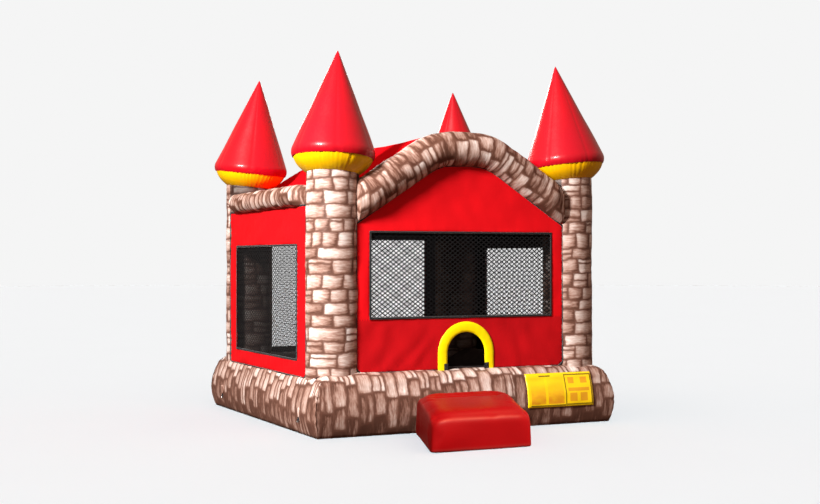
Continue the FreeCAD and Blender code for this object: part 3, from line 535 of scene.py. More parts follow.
def build_base_tube(name, quarter):
    """One side of the base: an airtight tube mitred into its neighbours and gathered a little there."""
    profile = base_profile()
    normal = outward(profile)
    around = lengths(profile, closed=True)
    crowding = math.pi / 2 * 0.86
    stations = np.sin(np.linspace(-1, 1, 150) * crowding) / math.sin(crowding)
    rings = np.zeros((len(stations), len(profile), 3))
    out, height = profile[:, 0][None, :], profile[:, 1][None, :]
    x = stations[:, None] * out
    to_mitre = out - np.abs(x)
    ring = around[:-1][None, :] + 0 * x
    shoulder_seam = around[24]
    upper = np.clip(height / 0.15, 0, 1)
    swell = 0.004 * ripples(x, ring, 0.55, 10 + quarter) + 0.002 * ripples(x, ring, 0.17, 20 + quarter)
    folds = gathers(ring, 0.085, 30 + quarter) * near(to_mitre, 0.13) * 0.016
    seam = gathers(x, 0.075, 40 + quarter) * near(np.abs(ring - shoulder_seam), 0.05) * 0.007
    push = (swell - folds - seam - 0.010 * near(to_mitre, 0.018)) * upper * (out > BASE_INNER + 0.02)
    rings[..., 0] = x
    rings[..., 1] = -(out + push * normal[:, 0][None, :])
    rings[..., 2] = np.maximum(height + push * normal[:, 1][None, :], 0)
    along = x + 1.7 * quarter + 0 * out
    piece = loft(name, turned(rings, quarter), around + 0.31 * quarter, along, STONE, [name])

    def under_walls(centres):
        return (np.abs(centres[:, 0]) < SIDE_X - 0.02) & (np.abs(centres[:, 1]) < FRONT_Y - 0.02)

    # the base tube's faces under the walls, inside the house, take the near-black painted shade
    second_finish(piece, PAINTED_SHADE_INSIDE, under_walls)
    return piece


def build_floor():
    """The bouncing floor: ten cells side by side, each crowned between its baffles."""
    half, top, cells, steps = 1.334, 0.500, 10, 12
    xs = np.linspace(-half, half, cells * steps + 1)
    crown = 0.035 * (np.abs(np.sin((xs + half) / (2 * half) * cells * math.pi)) ** 0.6 - 1)
    ys = np.linspace(-half, half, 60)
    edge = 0.04 * near(half - np.abs(ys), 0.05)
    rings = np.zeros((len(ys), len(xs), 3))
    rings[..., 0] = xs[None, :]
    rings[..., 1] = ys[:, None]
    rings[..., 2] = top + crown[None, :] * (1 - near(half - np.abs(ys), 0.1))[:, None] - edge[:, None]
    nodes = ["floor_mattress", "floor_baffles"]
    piece = loft("floor_top", rings, xs, rings[..., 1], FLOOR_GREY, nodes, closed=False)
    solid = piece.modifiers.new("depth", "SOLIDIFY")
    solid.thickness, solid.offset = 0.30, -1


# ---- towers and caps -------------------------------------------------------------------------
def leaned(points, sx, sy):
    """Points of a cap drawn upright at the origin, tilted towards the centre and set on tower (sx, sy)."""
    axis = Vector((sy * TOWER_Y, -sx * TOWER_X, 0)).normalized()
    turn = np.array(Matrix.Rotation(LEAN, 3, axis))
    return points @ turn.T + np.array([sx * TOWER_X, sy * TOWER_Y, TOWER_TOP])


def ring_grid(radii, heights, bend):
    """Rings of the given radii and heights round Z; bend[row, column] adds to the radius."""
    angles = np.linspace(0, math.tau, bend.shape[1], endpoint=False)
    r = radii[:, None] + bend
    return np.stack([r * np.cos(angles), r * np.sin(angles), heights[:, None] + 0 * r], axis=2)


def build_tower(name, sx, sy, seed):
    """Corner tower, cut off at the top to suit its leaning cap; inside the house its stone print is darkened,
    painted shade.
    """
    foot, hem_height, seam_height = 0.56, 0.74, 1.92
    t = np.linspace(0, 1, 96)
    angles = np.linspace(0, math.tau, 72, endpoint=False)
    arc = angles[None, :] * TOWER_R + 0 * t[:, None]
    height = foot + t[:, None] * (TOWER_TOP - foot) + 0 * angles
    swell = 0.0045 * ripples(arc, height, 0.5, seed) + 0.002 * ripples(arc, height, 0.14, seed + 1)
    neck = gathers(arc, 0.060, seed + 2) * near(TOWER_TOP - height, 0.07) * 0.011
    hem = gathers(arc, 0.075, seed + 3) * near(height - hem_height, 0.05) * 0.008
    waist = 0.006 * np.exp(-((height - seam_height) / 0.02) ** 2)
    bend = swell - neck - hem - waist
    if name == "tower_back_left":  # pressed flat behind the zip
        zip_low, zip_high = (corner[2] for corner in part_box("zipper_tape"))
        beside = (angles - math.pi / 2) * TOWER_R / 0.050
        along = (height - (zip_low + zip_high) / 2) / ((zip_high - zip_low) / 2 + 0.10)
        flat = np.exp(-beside ** 4)[None, :] * np.exp(-along ** 8)
        bend = bend * (1 - flat) - 0.009 * flat
    rings = ring_grid(np.full(len(t), TOWER_R + 0.006), t, bend)
    tilt = math.tan(LEAN)
    inward = np.array([-sx * TOWER_X, -sy * TOWER_Y]) / math.hypot(TOWER_X, TOWER_Y)
    top = TOWER_TOP - tilt * (rings[..., 0] * inward[0] + rings[..., 1] * inward[1])
    rings[..., 2] = foot + t[:, None] * (top - foot)
    rings[..., 0] += sx * TOWER_X
    rings[..., 1] += sy * TOWER_Y
    around = np.append(angles, math.tau) * TOWER_R
    piece = loft(name, rings, around + 3.1 * sx, rings[..., 2] + 5.3 * sy, STONE, [name])
    (x0, y0), (x1, y1) = (FRONT_HALF, FRONT_Y), (SIDE_X, SIDE_HALF)

    def within_walls(centres):
        x, y = np.abs(centres[:, 0]), np.abs(centres[:, 1])
        return (x - x0) * (y0 - y1) + (y - y0) * (x1 - x0) < -0.004

    # faces inside the house take the darkened stone: painted shade
    second_finish(piece, STONE_PAINTED_SHADE_INSIDE, within_walls)


def build_collar(name, sx, sy, seed):
    """Yellow ring, gathered into the cone's seam above and the tower's below."""
    t = np.linspace(0, 1, 28)
    radii = TOWER_R - 0.004 + (COLLAR_R - TOWER_R) * t ** 0.85 + 0.022 * np.sin(t * math.pi)
    heights = -0.004 + (COLLAR_H + 0.002) * t
    around = np.linspace(0, math.tau, 180 + 1) * COLLAR_R
    arc = around[None, :-1]
    folds = gathers(arc, 0.055, seed) * near(1 - t[:, None], 0.45) * 0.017
    foot = gathers(arc, 0.070, seed + 5) * near(t[:, None], 0.25) * 0.010
    rings = ring_grid(radii, heights, -folds - foot)
    piece = loft(name, leaned(rings, sx, sy), around, rings[..., 2], YELLOW, [name])


def build_cone(name, sx, sy, seed):
    """Red cone sewn from six gores, its edge rolling under into the collar's seam."""
    columns, gores = 144, 6
    seam, widest, shoulder = (COLLAR_R, COLLAR_H - 0.004), (CAP_R + 0.006, 0.247), (0.4886, 0.2957)
    low = arc_points(seam, widest, shoulder, 16)
    slant = line_points(shoulder, (0.010, CAP_TOP - 0.006), 60)
    profile = np.array(low + slant + [(0.006, CAP_TOP), (0.0005, CAP_TOP + 0.004)])
    angles = np.linspace(0, math.tau, columns, endpoint=False)[None, :]
    radii, heights = profile[:, 0], profile[:, 1]
    gore = np.abs(np.sin(angles * gores / 2 + 0.4 + sx))
    sewn = -0.006 * np.exp(-(gore / 0.07) ** 2) + 0.004 * gore
    below_tip = np.clip(radii[:, None] / 0.3, 0, 1)
    pucker = gathers(angles * CAP_R, 0.065, seed) * near(heights[:, None] - 0.19, 0.05) * 0.010
    soft = 0.003 * ripples(angles * 0.5, heights[:, None], 0.6, seed + 1)
    rings = ring_grid(radii, heights, (sewn + soft) * below_tip - pucker)
    around = np.linspace(0, math.tau, columns + 1) * CAP_R
    piece = loft(name, leaned(rings, sx, sy), around, rings[..., 2], CONE_RED, [name])


# ---- arches, eaves and roof ------------------------------------------------------------------
def arch_height(x, drop=0.0):
    """Height of an arch's centre line: two slopes and a flat, eased into each other."""
    past = (np.abs(x) - ARCH_CORNER) / ARCH_BEND
    return ARCH_Z - drop - SLOPE * ARCH_BEND * np.logaddexp(0, past)


def sweep(name, path, radius, bend, finish, start=0.0, hug=1, keep=1.0, plumb=None):
    """A tube along path, whose radius is one number per path point; bend adds to it. finish is its material,
    slot and node; the slot is not used. Where keep is under 1 it is that much narrower, against the side
    that hug (1 or -1) points to. Rings stand square to the path where plumb is 0, and upright where it is 1."""
    path = np.asarray(path, float)
    tangent = np.gradient(path, axis=0)
    tangent /= np.linalg.norm(tangent, axis=1, keepdims=True)
    side = np.array([0.0, 1.0, 0.0]) if abs(tangent[0][1]) < 0.9 else np.array([1.0, 0.0, 0.0])
    side = side[None, :] - (tangent @ side)[:, None] * tangent
    side /= np.linalg.norm(side, axis=1, keepdims=True)
    other = np.cross(tangent, side)
    columns = bend.shape[1]
    angles = np.linspace(0, math.tau, columns, endpoint=False)
    r = np.asarray(radius)[:, None] + bend
    wall = hug * max(radius)
    aside = wall + (r * np.cos(angles) - wall) * keep
    rings = path[:, None, :] + aside[..., None] * side[:, None, :]
    rings = rings + (r * np.sin(angles))[..., None] * other[:, None, :]
    if plumb is not None:
        slip = r * np.sin(angles) * (plumb * other[:, 0] / tangent[:, 0])[:, None]
        rings = rings - slip[..., None] * tangent[:, None, :]
    around = np.append(angles, math.tau) * max(radius)
    along = lengths(path)[:, None] + 0 * angles[None, :] + start
    material, slot, node = finish
    return loft(name, rings, around + start, along, material, [node], caps=True)


def rounded_ends(distance, radius, round_over):
    """Radius along a tube whose two ends close in over round_over."""
    left = np.minimum(distance, distance[-1] - distance)
    share = np.clip(left / round_over, 0, 1)
    return radius * np.sqrt(np.maximum(1 - (1 - share) ** 2, 0.0004))


def near_ends(distance, reach):
    """0 along a tube, rising smoothly to 1 over the last reach before either end."""
    left = np.minimum(distance, distance[-1] - distance)
    return eased(1 - left / reach)


def tucked_ends(distance, reach, loss):
    """Share of its width that a tube keeps along its length; it loses loss over its last reach, beside a
    tower."""
    return 1 - loss * near_ends(distance, reach)[:, None]


def tube_bend(distance, columns, radius, seed, ends=0.10):
    """Unevenness of an inflated tube, with gathers where its ends are sewn."""
    angles = np.linspace(0, math.tau, columns, endpoint=False)[None, :]
    s, arc = distance[:, None] + 0 * angles, angles * radius + 0 * distance[:, None]
    soft = 0.005 * ripples(s, arc, 0.45, seed) + 0.0025 * ripples(s, arc, 0.13, seed + 1)
    left = np.minimum(s, distance[-1] - s)
    return soft - gathers(arc, 0.06, seed + 2) * near(left - 0.06, ends) * 0.008


def build_arch(name, y, drop, seed):
    """Gabled tube over the front or back, creased on the inside of its two bends."""
    columns, end = 72, 0.07
    x = np.linspace(-ARCH_END, ARCH_END, 400)
    fine = np.stack([x, 0 * x + y, arch_height(x, drop)], axis=1)
    total = lengths(fine)
    distance = np.concatenate([np.linspace(0, end, 12)[:-1], np.linspace(end, total[-1] - end, 200),
                               np.linspace(total[-1] - end, total[-1], 12)[1:]])
    path = np.stack([np.interp(distance, total, fine[:, i]) for i in range(3)], axis=1)
    bend = tube_bend(distance, columns, ARCH_R, seed)
    inner = np.abs(np.linspace(0, math.tau, columns, endpoint=False)[None, :] - 1.5 * math.pi)
    turning = np.exp(-((np.abs(path[:, 0:1]) - ARCH_CORNER) / 0.16) ** 2)
    crease = gathers(distance[:, None] + 0 * inner, 0.055, seed + 7) * turning * 0.016
    crease = crease * np.exp(-(inner / 0.7) ** 2)
    radius = rounded_ends(distance, ARCH_R, 0.035)
    finish = (ARCH_STONE, "stone_vinyl", name)
    bend = (bend - crease) * (radius / ARCH_R)[:, None]
    keep, plumb = tucked_ends(distance, 0.27, 0.15), near_ends(distance, 0.34)
    piece = sweep(name, path, radius, bend, finish, seed, -np.sign(y), keep, plumb)


def build_eave(name, side, seed):
    """Straight tube along the top of a side wall."""
    distance = np.linspace(0, 2 * EAVE_END, 150)
    path = np.stack([0 * distance + side * EAVE_X, distance - EAVE_END, 0 * distance + EAVE_Z], axis=1)
    bend = tube_bend(distance, 56, EAVE_R, seed)
    radius = rounded_ends(distance, EAVE_R, 0.03)
    finish = (ARCH_STONE, "stone_vinyl", name)
    piece = sweep(name, path, radius, bend, finish, seed, -side, tucked_ends(distance, 0.22, 0.62))


def roof_line():
    """(x, z) across the roof, from one eave tube over the ridge to the other, with its corners eased."""
    valley = ROOF_Z - (VALLEY_X - ROOF_HALF) * SLOPE
    corners = [(0.0, ROOF_Z), (ROOF_HALF, ROOF_Z), (VALLEY_X, valley), (EAVE_X - EAVE_R, EAVE_Z + 0.01)]
    x = np.linspace(0, corners[-1][0], 90)
    z = np.interp(x, [c[0] for c in corners], [c[1] for c in corners])
    reach = 5
    padded_z = np.concatenate([z[reach:0:-1], z, np.full(reach, z[-1])])
    z = np.convolve(padded_z, np.ones(2 * reach + 1) / (2 * reach + 1), "valid")
    return np.concatenate([-x[:0:-1], x]), np.concatenate([z[:0:-1], z])


def build_roof():
    """The roof sheet, drawn from behind the front arch, over the back arch and a little down behind it; its
    rear corners are cut back to end at the towers."""
    x, z = roof_line()
    over, wrap = ARCH_R + 0.012, 0.95
    rear, rear_at_towers = ARCH_Y + over * math.sin(wrap), 1.480
    end = rear + (rear_at_towers - rear) * eased((np.abs(x) - 1.25) / 0.17)
    share = np.concatenate([np.linspace(0, 0.94, 106), np.linspace(0.94, 1, 17)[1:]])[:, None]
    y = ROOF_FRONT + share * (end - ROOF_FRONT)[None, :]
    drop = over * (1 - np.sqrt(1 - (np.maximum(y - ARCH_Y, 0) / over) ** 2))
    across = x[None, :] + 0 * y
    span = np.sin(np.clip((y - ROOF_FRONT) / (ARCH_Y - ROOF_FRONT), 0, 1) * math.pi)
    sag = -0.020 * span * np.clip(1 - (np.abs(across) / 1.7) ** 4, 0, 1)
    soft = 0.006 * ripples(across, y, 0.9, 3) * span
    seam = -0.008 * np.exp(-((np.abs(across) - ROOF_HALF) / 0.012) ** 2) * span
    back = gathers(across, 0.09, 5) * near(ARCH_Y - y, 0.09) * -0.007
    lift = (0.008 + 0.020 * np.clip((np.abs(across) - 0.6) / 0.4, 0, 1)) * near(ARCH_Y - y, 0.3)
    rings = np.stack([across, y, z[None, :] - drop + sag + soft + seam + back + lift], axis=2)
    width, middle = lengths(np.stack([x, z], axis=1)), len(x) // 2
    length = lengths(np.stack([y[:, middle], -drop[:, middle]], axis=1))
    grid = length[:, None] + 0 * y
    piece = loft("roof_cover", rings, width, grid, ROOF_RED, ["roof_sheet"], closed=False)
    # the roof's underside is near black: painted shade
    thicken(piece, SHEET, PAINTED_SHADE_INSIDE)


# ---- walls -----------------------------------------------------------------------------------
def dense(points, step):
    """A closed outline with points no further apart than step."""
    out = []
    for a, b in zip(points, points[1:] + points[:1]):
        count = max(1, math.ceil(math.dist(a, b) / step))
        out += line_points(a, b, count)
    return out


def inside(points, outline):
    """Which points lie in a closed outline."""
    a, b = np.asarray(outline), np.roll(np.asarray(outline), -1, axis=0)
    x, y = points[:, 0:1], points[:, 1:2]
    rise = b[:, 1] - a[:, 1]
    rise = np.where(rise == 0, 1e-12, rise)
    crosses = ((a[:, 1] > y) != (b[:, 1] > y)) & (x < (b[:, 0] - a[:, 0]) * (y - a[:, 1]) / rise + a[:, 0])
    return crosses.sum(axis=1) % 2 == 1


def edge_distance(points, outlines):
    """(distance to the nearest edge, place along that edge) for each point."""
    best = np.full(len(points), 9.0)
    place = np.zeros(len(points))
    for outline in outlines:
        a = np.asarray(outline)
        b = np.roll(a, -1, axis=0)
        run = lengths(a, closed=True)[:-1]
        side = b - a
        size = np.maximum((side ** 2).sum(axis=1), 1e-12)
        share = np.clip(((points[:, None, :] - a) * side).sum(axis=2) / size, 0, 1)
        gap = np.linalg.norm(points[:, None, :] - (a + share[..., None] * side), axis=2)
        pick = gap.argmin(axis=1)
        rows = np.arange(len(points))
        closer = gap[rows, pick] < best
        best = np.where(closer, gap[rows, pick], best)
        along = run[pick] + share[rows, pick] * np.sqrt(size[pick])
        place = np.where(closer, along, place)
    return best, place


def cut_cloth(outline, hole, step):
    """Points about step apart over a flat sheet with one hole, and their triangles."""
    low, high = np.min(outline, axis=0), np.max(outline, axis=0)
    rows = np.arange(low[1], high[1], step * 0.87)
    grid = np.array([(x + (i % 2) * step / 2, z) for i, z in enumerate(rows)
                     for x in np.arange(low[0], high[0], step)])
    loops = [outline, hole]
    grid = grid[inside(grid, outline) & ~inside(grid, hole)]
    grid = grid[edge_distance(grid, loops)[0] > step * 0.45]
    points, edges = [], []
    for line in loops:
        first = len(points)
        points += line
        edges += [(first + i, first + (i + 1) % len(line)) for i in range(len(line))]
    points = [Vector(p) for p in points] + [Vector(p) for p in grid]
    flat, _, faces, *_ = delaunay_2d_cdt(points, edges, [], 0, 1e-6)
    flat = np.array(flat)
    faces = np.array([f for f in faces if len(f) == 3])
    centre = flat[faces].mean(axis=1)
    return flat, faces[inside(centre, outline) & ~inside(centre, hole)]


def panel(name, outline, hole, plane, quarter, folds=None):
    """A sewn wall in the plane y = -plane, turned to its side, with a window, tension puckers and its own
    folds."""
    step, seed = 0.032, 100 + quarter
    outline, hole = dense(outline, step), dense(hole, step)
    flat, faces = cut_cloth(outline, hole, step)
    distance, place = edge_distance(flat, [outline, hole])
    a, b = flat[:, 0], flat[:, 1]
    free = 1 - near(distance, 0.05)
    out = 0.010 * ripples(a, b, 0.9, seed) * free + 0.0025 * ripples(a, b, 0.22, seed + 1) * free
    out += (gathers(place, 0.07, seed + 2) - 0.4) * near(distance - 0.02, 0.05) * 0.006
    if folds:
        out += folds(a, b) * free
    shape = np.stack([a, -plane - out, b], axis=1)
    uvs = flat[faces.ravel()]
    # the left wall, which faces the key light, takes a deeper red: painted shade
    finish = LEFT_RED_PAINTED_SHADE if name == "left_wall" else WALL_RED
    piece = make_piece(name, turned(shape, quarter), faces, finish, [name + "_panel"], uvs)
    # the front wall below its window takes a deeper red: painted shade
    if name == "front_wall":
        second_finish(piece, SKIRT_PAINTED_SHADE, lambda c: c[:, 2] < FRONT_WINDOW[1] - 0.020)
    # the wall's back face is near black: painted shade
    thicken(piece, SHEET, PAINTED_SHADE_INSIDE)


def gable_outline(drop, tuck=0.0):
    """End wall: rises from the base tube to the underside of its arch, and tuck further up inside it."""
    foot = base_height(FRONT_Y) - 0.010
    x = np.linspace(FRONT_HALF, -FRONT_HALF, 61)
    slant = np.sqrt(1 + np.gradient(arch_height(x, drop), x) ** 2)
    reach = math.sqrt(ARCH_R ** 2 - (FRONT_Y - ARCH_Y) ** 2) - 0.006
    top = list(zip(x, arch_height(x, drop) - reach * slant + tuck))
    inner = FRONT_HALF - CUT_CORNER
    corner = foot + CUT_CORNER
    return [(-FRONT_HALF, corner), (-inner, foot), (inner, foot), (FRONT_HALF, corner)] + top


def side_outline():
    """Side wall: from the base tube to the eave tube."""
    foot, top, inner = base_height(SIDE_X) - 0.006, EAVE_Z - EAVE_R + 0.012, SIDE_HALF - CUT_CORNER
    return [(-SIDE_HALF, foot + CUT_CORNER), (-inner, foot), (inner, foot), (SIDE_HALF, foot + CUT_CORNER),
            (SIDE_HALF, top), (-SIDE_HALF, top)]


def window_outline(window):
    half, low, high = window
    return [(-half, low), (half, low), (half, high), (-half, high)]


def door_head(radius, count):
    """The entrance's round head, from left to right."""
    turns = np.linspace(math.pi, 0, count)
    return [(DOOR_X + radius * math.cos(t), DOOR_SPRING + radius * math.sin(t)) for t in turns]


def notched(outline, radius):
    """Outline of a wall with the entrance cut into its bottom edge."""
    foot = min(p[1] for p in outline)
    sides = [(DOOR_X - radius, foot)], [(DOOR_X + radius, foot)]
    return outline[:2] + sides[0] + door_head(radius, 40) + sides[1] + outline[2:]


def front_folds(a, b):
    """Slack below the front window: folds that fan out from the entrance."""
    top, foot, pitch, depth = 1.33, 0.72, 0.34, 0.0045
    aside = np.abs(a - DOOR_X)
    skirt = np.clip((top - b) / 0.12, 0, 1)
    away = np.clip((aside - 0.40) / 0.25, 0, 1) * np.clip((1.45 - aside) / 0.3, 0, 1)
    fan = (b - foot) * 0.75 + aside
    wave = np.sin(fan * math.tau / pitch + 1.2 * ripples(a, b, 0.6, 77))
    return skirt * away * wave * depth


def build_walls():
    """The four walls; the front one also has the entrance cut out of it."""
    front = notched(gable_outline(0.0, WALL_TUCK), DOOR_R + 0.006)
    panel("front_wall", front, window_outline(FRONT_WINDOW), FRONT_Y, 0, front_folds)
    panel("back_wall", gable_outline(ARCH_DROP, WALL_TUCK), window_outline(BACK_WINDOW), FRONT_Y, 2)
    panel("right_wall", side_outline(), window_outline(SIDE_WINDOW), SIDE_X, 1)
    panel("left_wall", side_outline(), window_outline(SIDE_WINDOW), SIDE_X, 3)


# ---- netting and tapes -----------------------------------------------------------------------
def build_net(name, node, window, plane, quarter, strand, thick):
    """Knotless diamond netting: strands that cross over and under, sewn in behind the window's edge."""
    half, low, high = window
    lap, wide, tall = 0.020, 0.072, 0.053
    x0, x1, z0, z1 = -half - lap, half + lap, low - lap, high + lap
    step = Vector((wide / 2, tall / 2))
    slant = step.normalized()
    points, faces, uvs = [], [], []
    level = -plane + 0.010

    def strip(a, b, across, lift):
        """One flat strand between two crossings, as a thin closed bar."""
        first = len(points)
        for (x, z), up in ((a, lift), (b, -lift)):
            for side, face in ((-1, -1), (1, -1), (1, 1), (-1, 1)):
                points.append((x + across[0] * side * strand / 2, level + up + face * thick / 2,
                               z + across[1] * side * strand / 2))
        for i in range(4):
            k = (i + 1) % 4
            faces.append((first + i, first + k, first + 4 + k, first + 4 + i))
            v = i * 0.002
            uvs.extend([(0, v), (0, v + 0.002), (0.05, v + 0.002), (0.05, v)])

    columns, rows = int((x1 - x0) / step.x), int((z1 - z0) / step.y)
    for direction in (1, -1):
        across = (-slant.y * direction, slant.x)
        for i in range(columns):
            for j in range(rows):
                if (i + j) % 2 == (0 if direction == 1 else 1):
                    a = (x0 + i * step.x, z0 + j * step.y)
                    b = (a[0] + step.x, a[1] + step.y)
                    if direction == -1:
                        a, b = (a[0], b[1]), (b[0], a[1])
                    strip(a, b, across, 0.0012 * direction * (1 if i % 2 else -1))
    piece = make_piece(name, turned(points, quarter), faces, NETTING, [node], uvs)
    piece.data.shade_flat()


def ribbon(name, path, width, plane, quarter, material, nodes=(), closed=True, thick=0.004, puff=0.0):
    """Tape sewn flat on a wall along path, bent round its corners, its face proud of the wall by thick."""
    path = np.asarray(path, float)
    before, after = np.roll(path, 1, axis=0), np.roll(path, -1, axis=0)
    if not closed:
        before[0], after[-1] = path[0], path[-1]
    across = sideways(after - before)
    spread = 1 / np.maximum(np.abs((across * sideways(path - before)).sum(axis=1)), 0.6)
    if not closed:
        spread[0] = 1
    section = [(-0.5, 0.0), (-0.47, 0.75), (-0.3, 1.0 + puff / 2), (0.0, 1.0 + puff), (0.3, 1.0 + puff / 2),
               (0.47, 0.75), (0.5, 0.0)]
    run = lengths(path)
    rings = np.zeros((len(path), len(section), 3))
    for j, (s, lift) in enumerate(section):
        at = path + across * (s * width * spread)[:, None]
        wave = 0.0008 * np.sin(run * math.tau / 0.09 + j)
        depth = 0 * run - plane - lift * thick - wave * (lift > 0)
        rings[:, j] = np.stack([at[:, 0], depth, at[:, 1]], axis=1)
    offsets = np.array([s * width for s, _ in section])
    if closed:
        rings = np.concatenate([rings, rings[:1]])
        run = lengths(path, closed=True)
    rows, columns = rings.shape[:2]
    faces, cells = grid_faces(rows, columns, False)
    uvs = []
    for i, j in cells:
        uvs += [(run[i], offsets[j]), (run[i], offsets[j + 1]),
                (run[i + 1], offsets[j + 1]), (run[i + 1], offsets[j])]
    return make_piece(name, turned(rings, quarter).reshape(-1, 3), faces, material, nodes, uvs)


def build_tapes():
    """Black tape round every window, with its net, and where the walls are sewn to the tubes."""
    walls = (("front", FRONT_WINDOW, FRONT_Y, 0), ("right", SIDE_WINDOW, SIDE_X, 1),
             ("back", BACK_WINDOW, FRONT_Y, 2), ("left", SIDE_WINDOW, SIDE_X, 3))
    for name, window, plane, quarter in walls:
        path = dense(window_outline(window), 0.03)
        ribbon(name + "_window_tape", path, 0.026, plane + 0.006, quarter, TAPE,
               ["window_bindings"])
        strand, thick = (0.0120, 0.0018) if quarter in (0, 3) else (0.0048, 0.0016)
        build_net(name + "_net", name + "_window_net", window, plane, quarter, strand, thick)
        outline = side_outline() if plane == SIDE_X else gable_outline(ARCH_DROP if quarter == 2 else 0.0)
        edge = dense(outline, 0.03)
        if name == "front":
            edge = [p for p in edge if not (abs(p[0] - DOOR_X) < TRIM_R and p[1] < 1.0)]
            start = max(range(len(edge)), key=lambda i: math.dist(edge[i], edge[i - 1]))
            edge = edge[start:] + edge[:start]
        ribbon(name + "_edge_tape", edge, 0.020, plane + 0.002, quarter, TAPE,
               closed=name != "front")


# ---- entrance --------------------------------------------------------------------------------
def build_trim():
    """Yellow band round the entrance, lightly padded, with its two black corner patches."""
    radius = (DOOR_R + TRIM_R) / 2
    foot = base_height(FRONT_Y) - 0.016
    left = line_points((DOOR_X - radius, foot), (DOOR_X - radius, DOOR_SPRING), 10)
    right = line_points((DOOR_X + radius, DOOR_SPRING), (DOOR_X + radius, foot), 10)
    path = left + door_head(radius, 60)[:-1] + right + [(DOOR_X + radius, foot)]
    ribbon("entrance_band", path, TRIM_R - DOOR_R, FRONT_Y + 0.002, 0, BAND_YELLOW,
           ["entrance_trim"], closed=False, thick=0.012, puff=0.35)
    for side, name in ((-1, "left"), (1, "right")):
        x = DOOR_X + side * (DOOR_R + 0.020)
        path = line_points((x, foot - 0.01), (x, foot + 0.10), 8)
        ribbon("entrance_patch_" + name, path, 0.060, FRONT_Y + 0.018, 0, TAPE,
               ["entrance_corner_patches"], closed=False)


def build_sign():
    """Yellow notice sewn flat over the front base tube."""
    xs = np.linspace(SIGN_X0, SIGN_X1, 60)
    zs = np.linspace(SIGN_Z0, SIGN_Z1, 30)
    out = np.array([float(base_face(z)) for z in zs])
    u, v = np.meshgrid(np.linspace(0, 1, len(xs)), np.linspace(0, 1, len(zs)))
    lift = 0.014 + 0.0020 * ripples(u, v, 0.35, 8)
    hem = np.minimum(np.minimum(u, 1 - u) * 0.95, np.minimum(v, 1 - v) * 0.42)
    lift = lift * np.clip(hem / 0.01, 0.7, 1) + 0.002 * np.exp(-((hem - 0.02) / 0.004) ** 2)
    rings = np.zeros((len(zs), len(xs), 3))
    rings[..., 0] = xs[None, :]
    rings[..., 1] = -(out[:, None] + lift)
    rings[..., 2] = zs[:, None]
    piece = loft("yellow_sign", rings, u[0], v, SIGN, ["rules_sign"], closed=False)
    thicken(piece, -0.0015)


def rounded_block(counts, low_power, high_power):
    """Points on the upper half of a rounded cube from -1 to 1, with a flat foot at 0, and their faces. The
    higher its power, the sharper its edges; it runs from low_power at the foot to high_power at the top."""
    index, points, faces = {}, [], []

    def point(*key):
        if key not in index:
            index[key] = len(points)
            s, t, r = (k / count for k, count in zip(key, counts))
            cube = np.array([2 * s - 1, 2 * t - 1, r])
            size = np.abs(cube)
            power = low_power + (high_power - low_power) * r
            points.append(cube * size.max() / max((size ** power).sum() ** (1 / power), 1e-9))
        return index[key]

    for fixed in range(3):
        a, b = (fixed + 1) % 3, (fixed + 2) % 3
        for level in (0, counts[fixed]):
            for i in range(counts[a]):
                for j in range(counts[b]):
                    face = []
                    for da, db in ((0, 0), (1, 0), (1, 1), (0, 1)):
                        key = [0, 0, 0]
                        key[fixed], key[a], key[b] = level, i + da, j + db
                        face.append(point(*key))
                    faces.append(face if level else face[::-1])
    return np.array(points), faces


def place_of(piece):
    """Its points, one row each."""
    return np.array([vertex.co for vertex in piece.data.vertices])


def apply_modifiers(piece):
    """Makes the piece's mesh what its modifiers show."""
    shown = piece.evaluated_get(bpy.context.evaluated_depsgraph_get())
    shaped = bpy.data.meshes.new_from_object(shown)
    piece.modifiers.clear()
    piece.data = shaped


def blow_up(piece, most):
    """Twenty frames of cloth under air pressure; no point moves further than most from where it was."""
    start = place_of(piece)
    cloth = piece.modifiers.new("air", "CLOTH")
    cloth.settings.use_pressure = True
    cloth.settings.uniform_pressure_force = 5.0
    cloth.settings.tension_stiffness = cloth.settings.compression_stiffness = 25
    cloth.settings.bending_stiffness = 0.6
    cloth.settings.effector_weights.gravity = 0
    for number in range(1, 21):
        bpy.context.scene.frame_set(number)
    apply_modifiers(piece)
    bpy.context.scene.frame_set(1)
    moved = place_of(piece) - start
    moved -= moved.mean(axis=0)
    reach = np.linalg.norm(moved, axis=1, keepdims=True)
    put(piece, start + moved * np.minimum(1, most / np.maximum(reach, 1e-9)))


def put(piece, points):
    piece.data.vertices.foreach_set("co", points.astype(np.float32).ravel())
    piece.data.update()


